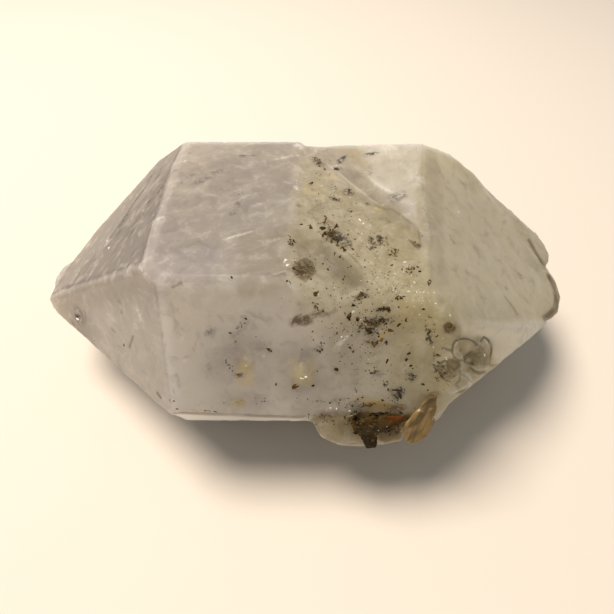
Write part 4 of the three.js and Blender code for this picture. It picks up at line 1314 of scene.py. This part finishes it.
GRAIN_LENGTH = 1.35
GRAIN_WIDTHS = (0.55, 1.0)
MOST_TURN = (0.5, 0.5, 6.28)  # radians: a little tilt, and any turn round its own normal
DENT_SIZE = 0.4 * MM

grain_tree, given, result = geometry_tree("grain_on_each_point", {
    "Roughness": "NodeSocketFloat", "Flatness": "NodeSocketFloat",
    "Seed": "NodeSocketInt", "Material": "NodeSocketMaterial",
})
lump = add(grain_tree, "GeometryNodeMeshIcoSphere", {"Radius": 1.0, "Subdivisions": 1})
# sockets 0 and 1 are the limits of a random vector, 2 and 3 those of a random number
inputs = {0: (0.0, 0.0, 0.0), 1: MOST_TURN, "Seed": given["Seed"]}
turn = add(grain_tree, "FunctionNodeRandomValue", inputs, data_type="FLOAT_VECTOR").outputs[0]
inputs = {"Name": "out_of_face"}
normal = add(grain_tree, "GeometryNodeInputNamedAttribute", inputs, data_type="FLOAT_VECTOR").outputs[0]
inputs = {"Rotation": turn, "Vector": normal}
laid = add(grain_tree, "FunctionNodeAlignRotationToVector", inputs, axis="Z").outputs[0]
inputs = {2: GRAIN_WIDTHS[0], 3: GRAIN_WIDTHS[1], "Seed": given["Seed"]}
narrow = add(grain_tree, "FunctionNodeRandomValue", inputs, data_type="FLOAT").outputs[1]
inputs = {"X": GRAIN_LENGTH, "Y": narrow, "Z": given["Flatness"]}
flat = add(grain_tree, "ShaderNodeCombineXYZ", inputs).outputs[0]
inputs = {"Name": "size"}
size = add(grain_tree, "GeometryNodeInputNamedAttribute", inputs, data_type="FLOAT").outputs[0]
scale = add(grain_tree, "ShaderNodeVectorMath", {0: flat, "Scale": size}, operation="SCALE").outputs[0]
inputs = {"Points": given["Geometry"], "Instance": lump.outputs["Mesh"]}
inputs |= {"Rotation": laid, "Scale": scale}
on_points = add(grain_tree, "GeometryNodeInstanceOnPoints", inputs)
real = add(grain_tree, "GeometryNodeRealizeInstances", {0: on_points.outputs[0]})
dents = add(grain_tree, "ShaderNodeTexNoise", {"Scale": 1 / DENT_SIZE, "Detail": 1.0}).outputs["Color"]
inputs = {0: dents, 1: (0.5, 0.5, 0.5)}
centred = add(grain_tree, "ShaderNodeVectorMath", inputs, operation="SUBTRACT").outputs[0]
inputs = {0: size, 1: given["Roughness"]}
reach = add(grain_tree, "ShaderNodeMath", inputs, operation="MULTIPLY").outputs[0]
offset = add(grain_tree, "ShaderNodeVectorMath", {0: centred, "Scale": reach}, operation="SCALE")
inputs = {"Geometry": real.outputs[0], "Offset": offset.outputs[0]}
dented = add(grain_tree, "GeometryNodeSetPosition", inputs)
inputs = {"Geometry": dented.outputs[0], "Material": given["Material"]}
finish = add(grain_tree, "GeometryNodeSetMaterial", inputs)
grain_tree.links.new(finish.outputs[0], result.inputs[0])
print("grain tree:", len(grain_tree.nodes), "nodes")

# %% [markdown]
# Single grains are named by pixel, size in mm and tone, where 0 is black, 0.5 brown and 1
# orange. A cluster is named by its middle, its half sizes in pixels, its turn in degrees, its
# number of grains, their smallest and largest size and their tone.

# %% Where the grains are
SINGLE_GRAINS = [
    (311, 183, 0.5, 0.1), (324, 218, 0.85, 0.3), (324, 223, 0.6, 0.3), (323, 229, 0.7, 0.05),
    (325, 233, 0.55, 0.0), (336, 226, 0.7, 0.15), (301, 225, 0.5, 0.3), (310, 227, 0.5, 0.3),
    (317, 223, 0.4, 0.2), (344, 249, 0.6, 0.0), (348, 230, 0.4, 0.3), (348, 235, 0.3, 0.2),
    (353, 249, 0.3, 0.2), (368, 220, 0.35, 0.35), (368, 204, 0.4, 0.35), (351, 211, 0.45, 0.4),
    (375, 248, 0.3, 0.1), (377, 251, 0.35, 0.1), (391, 266, 0.4, 1.0), (343, 279, 0.4, 0.95),
    (342, 283, 0.4, 0.5), (345, 276, 0.3, 1.0), (328, 269, 0.4, 0.2), (323, 263, 0.35, 0.4),
    (340, 257, 0.35, 0.3), (335, 254, 0.3, 0.3), (287, 281, 0.35, 0.1), (291, 284, 0.5, 0.05),
    (294, 269, 0.5, 0.0), (420, 272, 0.4, 0.1), (414, 243, 0.4, 0.3), (418, 247, 0.4, 0.1),
    (353, 305, 0.5, 0.0), (349, 316, 0.75, 0.0), (348, 319, 0.5, 0.05), (389, 310, 0.5, 0.05),
    (397, 298, 0.6, 0.05), (408, 308, 0.45, 0.05), (408, 319, 0.65, 0.1), (424, 309, 0.4, 0.1),
    (399, 325, 0.5, 0.1), (370, 331, 0.75, 0.05), (391, 331, 0.6, 0.35), (381, 340, 0.5, 1.0),
    (384, 333, 0.35, 0.9), (374, 342, 0.7, 0.3), (386, 343, 0.5, 0.1), (319, 344, 0.65, 0.1),
    (321, 353, 0.6, 0.05), (317, 352, 0.45, 0.9), (352, 350, 0.55, 0.15), (409, 353, 0.45, 0.1),
    (387, 361, 0.55, 0.05), (406, 360, 0.35, 0.1), (410, 366, 0.4, 0.05), (337, 369, 0.5, 0.0),
    (399, 390, 0.9, 0.0), (400, 395, 0.7, 0.0), (388, 390, 0.4, 0.1), (382, 400, 0.45, 0.3),
    (398, 400, 0.35, 0.1), (405, 390, 0.3, 0.1), (422, 384, 0.4, 0.0), (428, 390, 0.3, 0.2),
    (319, 401, 0.45, 0.1), (362, 398, 0.4, 0.1), (339, 400, 0.3, 0.0), (356, 391, 0.4, 0.2),
    (313, 386, 0.4, 0.1), (295, 386, 0.75, 0.7), (268, 349, 0.5, 0.2), (271, 351, 0.35, 0.7),
    (256, 337, 0.35, 0.1), (236, 341, 0.3, 0.3), (227, 403, 0.4, 0.3), (232, 277, 0.4, 0.2),
    (177, 409, 0.3, 0.0), (205, 411, 0.6, 0.0), (209, 411, 0.4, 0.0), (124, 345, 0.3, 0.1),
    (170, 401, 0.3, 0.0), (174, 401, 0.3, 0.0), (215, 411, 0.35, 0.0), (95, 341, 0.25, 0.2),
    (239, 374, 0.4, 0.75), (438, 355, 0.4, 0.2), (429, 316, 0.35, 0.2), (276, 384, 0.3, 0.2),
    (450, 326, 0.5, 0.4), (430, 345, 0.35, 0.2), (437, 336, 0.3, 0.2), (246, 319, 0.35, 0.1),
    (230, 333, 0.3, 0.2),
]
GRAIN_CLUSTERS = [
    (318, 161, 6, 4, -50, 22, 0.15, 0.42, 0.15), (349, 191, 3, 3, 0, 7, 0.18, 0.4, 0.2),
    (335, 199, 6, 1.3, -40, 9, 0.15, 0.3, 0.25), (332, 239, 11, 5, -35, 46, 0.14, 0.42, 0.12),
    (344, 249, 4, 3, -40, 10, 0.15, 0.35, 0.35), (292, 242, 5, 5, 0, 16, 0.14, 0.3, 0.1),
    (303, 268, 11, 9, 35, 60, 0.12, 0.3, 0.25), (394, 254, 5, 4, 20, 16, 0.18, 0.36, 0.1),
    (410, 268, 6, 4, 20, 16, 0.18, 0.36, 0.05), (429, 282, 2, 4, 0, 6, 0.2, 0.32, 0.1),
    (376, 242, 12, 9, 20, 30, 0.12, 0.28, 0.35), (361, 296, 7, 5, 20, 26, 0.14, 0.34, 0.25),
    (316, 293, 3, 3, 0, 8, 0.15, 0.35, 0.15), (316, 308, 3, 5, 20, 12, 0.15, 0.35, 0.2),
    (383, 309, 9, 2, 10, 26, 0.16, 0.36, 0.08), (376, 321, 16, 4, 6, 64, 0.14, 0.38, 0.12),
    (370, 331, 5, 4, 0, 14, 0.2, 0.45, 0.1), (400, 298, 5, 4, -30, 12, 0.18, 0.35, 0.08),
    (375, 343, 9, 3, 10, 16, 0.16, 0.35, 0.25), (320, 349, 4, 6, 0, 12, 0.14, 0.32, 0.2),
    (350, 346, 3, 3, 0, 5, 0.16, 0.3, 0.2), (396, 398, 6, 4, 0, 22, 0.12, 0.32, 0.05),
    (412, 377, 6, 5, 0, 18, 0.1, 0.24, 0.08), (386, 384, 5, 4, 0, 12, 0.1, 0.24, 0.1),
    (375, 372, 7, 2, 15, 10, 0.1, 0.22, 0.1), (240, 325, 6, 3, 45, 14, 0.1, 0.24, 0.1),
    (229, 366, 3, 9, 30, 8, 0.1, 0.2, 0.15), (430, 335, 7, 14, 0, 20, 0.12, 0.26, 0.2),
    (360, 275, 44, 44, 0, 130, 0.1, 0.24, 0.3), (350, 345, 55, 42, 0, 120, 0.08, 0.2, 0.15),
    (330, 180, 26, 16, -40, 34, 0.1, 0.22, 0.35), (345, 400, 40, 6, 0, 24, 0.1, 0.24, 0.15),
    (441, 372, 9, 16, 20, 26, 0.1, 0.24, 0.25), (270, 402, 40, 6, 0, 14, 0.1, 0.22, 0.15),
    (434, 397, 2, 2, 0, 4, 0.15, 0.25, 0.5), (385, 420, 22, 10, 5, 26, 0.1, 0.26, 0.2),
    # crumbs of clay round the plug and its tail, and specks in the small crystals
    (355, 419, 8, 5, 0, 26, 0.25, 0.6, 0.1), (366, 427, 11, 4, 20, 26, 0.25, 0.6, 0.08),
    (370, 438, 7, 7, 0, 30, 0.25, 0.6, 0.0), (380, 415, 14, 4, 8, 26, 0.2, 0.5, 0.15),
    (390, 432, 10, 6, 0, 22, 0.12, 0.3, 0.2), (330, 425, 14, 8, 0, 18, 0.1, 0.24, 0.25),
    (322, 416, 12, 2, 0, 12, 0.15, 0.35, 0.3), (360, 405, 24, 3, 0, 26, 0.14, 0.36, 0.35),
    # fine dust all over the middle
    (360, 300, 52, 55, 0, 120, 0.07, 0.2, 0.2), (335, 215, 34, 26, -40, 50, 0.07, 0.22, 0.25),
    (395, 290, 30, 20, 40, 40, 0.08, 0.24, 0.25), (372, 325, 26, 12, 5, 50, 0.1, 0.3, 0.12),
    (395, 375, 34, 18, 0, 50, 0.07, 0.2, 0.1), (335, 235, 16, 8, -38, 30, 0.1, 0.34, 0.12),
]
print(len(SINGLE_GRAINS), "single grains and", len(GRAIN_CLUSTERS), "clusters")

# %% Dust between the grains
DUSTIEST = 0.2  # grains to a square pixel, from which on a zone can't get any dustier
DUST_FADE = (0.4, 1.6)  # in half sizes of a cluster
DUST_TURN = (0.05, 0.2)  # how squarely a point faces the camera, over which the dust comes in


def dusty_zones(clusters):
    """How much dust lies at each point: most in the middle of the thickest clusters of grains."""
    dust = np.zeros(len(ground.points))
    for u, v, long, wide, turn, count, *_ in clusters:
        du, dv = ground.pixels[:, 0] - u, ground.pixels[:, 1] - v
        angle = math.radians(turn)
        a = (du * math.cos(angle) - dv * math.sin(angle)) / long
        b = (du * math.sin(angle) + dv * math.cos(angle)) / wide
        most = min(1, count / (long * wide) / DUSTIEST)
        dust = np.maximum(dust, most * (1 - smoothstep(np.hypot(a, b), *DUST_FADE)))
    return dust * smoothstep(ground.facing, *DUST_TURN)


dusty = dusty_zones(GRAIN_CLUSTERS)
store(skin_mesh, "dusty", dusty)
print("dust on", int((dusty > 0.5).sum()), "points")

# %% Helpers that lay grains in the surface
SPREAD = 0.55  # of a cluster's grains, in half sizes
MOSTLY_SMALL = 1.8  # the higher, the fewer of a cluster's grains are large
TONE_SPREAD = (-0.12, 0.32)
draw = random.Random(11)


def cluster_points(cluster):
    """The grains of one cluster as (pixel u, pixel v, size, tone)."""
    u, v, long, wide, turn, count, smallest, largest, tone = cluster
    angle = math.radians(turn)
    for _ in range(count):
        a, b = draw.gauss(0, SPREAD) * long, draw.gauss(0, SPREAD) * wide
        size = smallest + (largest - smallest) * draw.random() ** MOSTLY_SMALL
        du = a * math.cos(angle) + b * math.sin(angle)
        dv = b * math.cos(angle) - a * math.sin(angle)
        yield u + du, v + dv, size, tone + draw.uniform(*TONE_SPREAD)


def grain_cloud(name, singles, clusters, growth, sink):
    """A piece with one point for each grain, set into the surface by a share of its half size."""
    spots = [(*seen(whole_surface, u, v), size, tone) for u, v, size, tone in singles]
    for u, v, size, tone in (grain for cluster in clusters for grain in cluster_points(cluster)):
        try:
            spots.append((*seen(whole_surface, u, v), size, tone))
        except ValueError:
            continue  # a cluster may reach past the crystal's outline
    half_sizes = [growth * size / 2 * MM for _, _, size, _ in spots]
    middles = [point - normal * (sink * half) for (point, normal, _, _), half in zip(spots, half_sizes)]
    mesh = bpy.data.meshes.new(name)
    mesh.from_pydata(middles, [], [])
    store(mesh, "size", half_sizes)
    store(mesh, "tone", [tone for _, _, _, tone in spots])
    layer = mesh.attributes.new("out_of_face", "FLOAT_VECTOR", "POINT")
    layer.data.foreach_set("vector", [c for _, normal, _, _ in spots for c in normal])
    return link_piece(name, mesh)


# %% [markdown]
# The dark grains go from black through brown to rust by their tone. They are dull stone, and a
# fine speckle keeps any two of them from looking the same.

# %% Dark mineral grains
GRAIN_GROWTH = 1.4  # the sizes above are what shows; the rest of a grain is in the quartz
GRAIN_SINK = 0.2
GRAIN_SPECKLE = 0.5 * MM

# dolomite and hydrocarbon: rough and dull, so a grain shows by its colour alone
dark, tree, out = new_material("dark_mineral_grain")
tone = add(tree, "ShaderNodeAttribute", attribute_name="tone").outputs["Fac"]
place = add(tree, "ShaderNodeTexCoord").outputs["Object"]
inputs = {"Vector": place, "Scale": 1 / GRAIN_SPECKLE, "Detail": 2.0}
speckle = add(tree, "ShaderNodeTexNoise", inputs).outputs["Fac"]
grain_colour = layered(tree, "362a14", [
    ("5a4622", tone, 0.05, 0.4, 1.0),
    ("6a4612", tone, 0.55, 0.95, 1.0),
    ("6e5c34", speckle, 0.52, 0.75, 0.5),
])
inputs = {"Base Color": grain_colour, "Roughness": 0.85, "IOR": 1.25}
stone = add(tree, "ShaderNodeBsdfPrincipled", inputs)
tree.links.new(stone.outputs[0], out.inputs["Surface"])

grain_points = grain_cloud("grain_points", SINGLE_GRAINS, GRAIN_CLUSTERS, GRAIN_GROWTH, GRAIN_SINK)
with_tree(grain_points, grain_tree, {"Roughness": 2.2, "Flatness": 0.4, "Seed": 3, "Material": dark})
grains = made_plain(grain_points, "mineral_grains")
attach(grains, "root")
print("mineral grains with", len(grains.data.polygons), "faces")

# %% [markdown]
# ## Bright chips
# Chips of quartz in the crust show as tiny bright dots: their near-white colour is a painted glint. They are
# laid by the same tree as the grains, but sit deeper and are smoother, and all of them have one tone.

# %% Bright quartz chips
# pixel and size in mm
BRIGHT_CHIPS = [
    (298, 146, 0.9), (426, 170, 0.5), (459, 212, 0.5), (360, 220, 0.5), (285, 261, 0.6),
    (288, 265, 0.5), (302, 262, 0.3), (321, 300, 0.5), (435, 303, 0.65), (416, 315, 0.6),
    (399, 288, 0.4), (404, 288, 0.35), (415, 290, 0.45), (417, 292, 0.35), (353, 311, 0.45),
    (350, 324, 0.45), (391, 322, 0.45), (334, 288, 0.35), (329, 293, 0.35), (303, 376, 0.8),
    (301, 379, 0.5), (246, 366, 0.5), (242, 369, 0.4), (264, 356, 0.35), (485, 355, 0.5),
    (531, 336, 0.5), (107, 241, 0.9), (109, 248, 0.7), (77, 319, 1.1), (78, 310, 0.4),
    (78, 304, 0.4), (172, 162, 0.5), (185, 161, 0.5), (185, 252, 0.35), (156, 296, 0.3),
    (297, 189, 0.6), (299, 192, 0.4), (295, 184, 0.5), (283, 159, 0.7), (279, 161, 0.6),
    (342, 337, 0.35), (347, 336, 0.4), (338, 343, 0.3), (418, 410, 0.4), (350, 411, 0.4),
    (416, 247, 0.4), (405, 262, 0.35), (448, 304, 0.4), (450, 315, 0.45), (531, 322, 0.4),
]
# as for the grains, without a tone
CHIP_CLUSTERS = [
    (410, 290, 16, 5, -10, 22, 0.16, 0.36), (374, 246, 10, 10, 0, 18, 0.14, 0.3),
    (330, 185, 24, 14, -40, 26, 0.14, 0.3), (297, 186, 4, 8, 25, 14, 0.16, 0.35),
    (425, 300, 14, 12, 20, 26, 0.14, 0.34), (360, 330, 45, 30, 0, 40, 0.12, 0.26),
    (395, 275, 26, 24, 0, 30, 0.12, 0.28), (440, 345, 10, 18, 20, 16, 0.14, 0.3),
    (388, 432, 14, 7, 0, 14, 0.14, 0.3), (335, 408, 20, 3, 0, 8, 0.14, 0.3),
    (350, 215, 44, 40, 0, 110, 0.08, 0.2), (400, 285, 30, 22, 30, 60, 0.08, 0.22),
    (350, 330, 50, 40, 0, 70, 0.07, 0.16),
]
CHIP_TONE = 0
CHIP_GROWTH = 1.2
CHIP_SINK = 0.4
CHIP_SHADE = 0.8 * MM

# quartz chips as smooth as glass, with a near-white colour that is a painted glint
bright, tree, out = new_material("painted_glint_chip")
place = add(tree, "ShaderNodeTexCoord").outputs["Object"]
shade = add(tree, "ShaderNodeTexNoise", {"Vector": place, "Scale": 1 / CHIP_SHADE}).outputs["Fac"]
chip_colour = layered(tree, "fbf8ee", [("d9cfae", shade, 0.45, 0.7, 0.7)])
inputs = {"Base Color": chip_colour, "Roughness": 0.12, "IOR": QUARTZ_IOR}
chip = add(tree, "ShaderNodeBsdfPrincipled", inputs)
tree.links.new(chip.outputs[0], out.inputs["Surface"])

single_chips = [(*chip_at, CHIP_TONE) for chip_at in BRIGHT_CHIPS]
chip_clusters = [(*cluster, CHIP_TONE) for cluster in CHIP_CLUSTERS]
chip_points = grain_cloud("chip_points", single_chips, chip_clusters, CHIP_GROWTH, CHIP_SINK)
with_tree(chip_points, grain_tree, {"Roughness": 1.6, "Flatness": 0.5, "Seed": 8, "Material": bright})
chips = made_plain(chip_points, "quartz_chips_with_painted_glints")
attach(chips, "root")
print("chips with", len(chips.data.polygons), "faces")
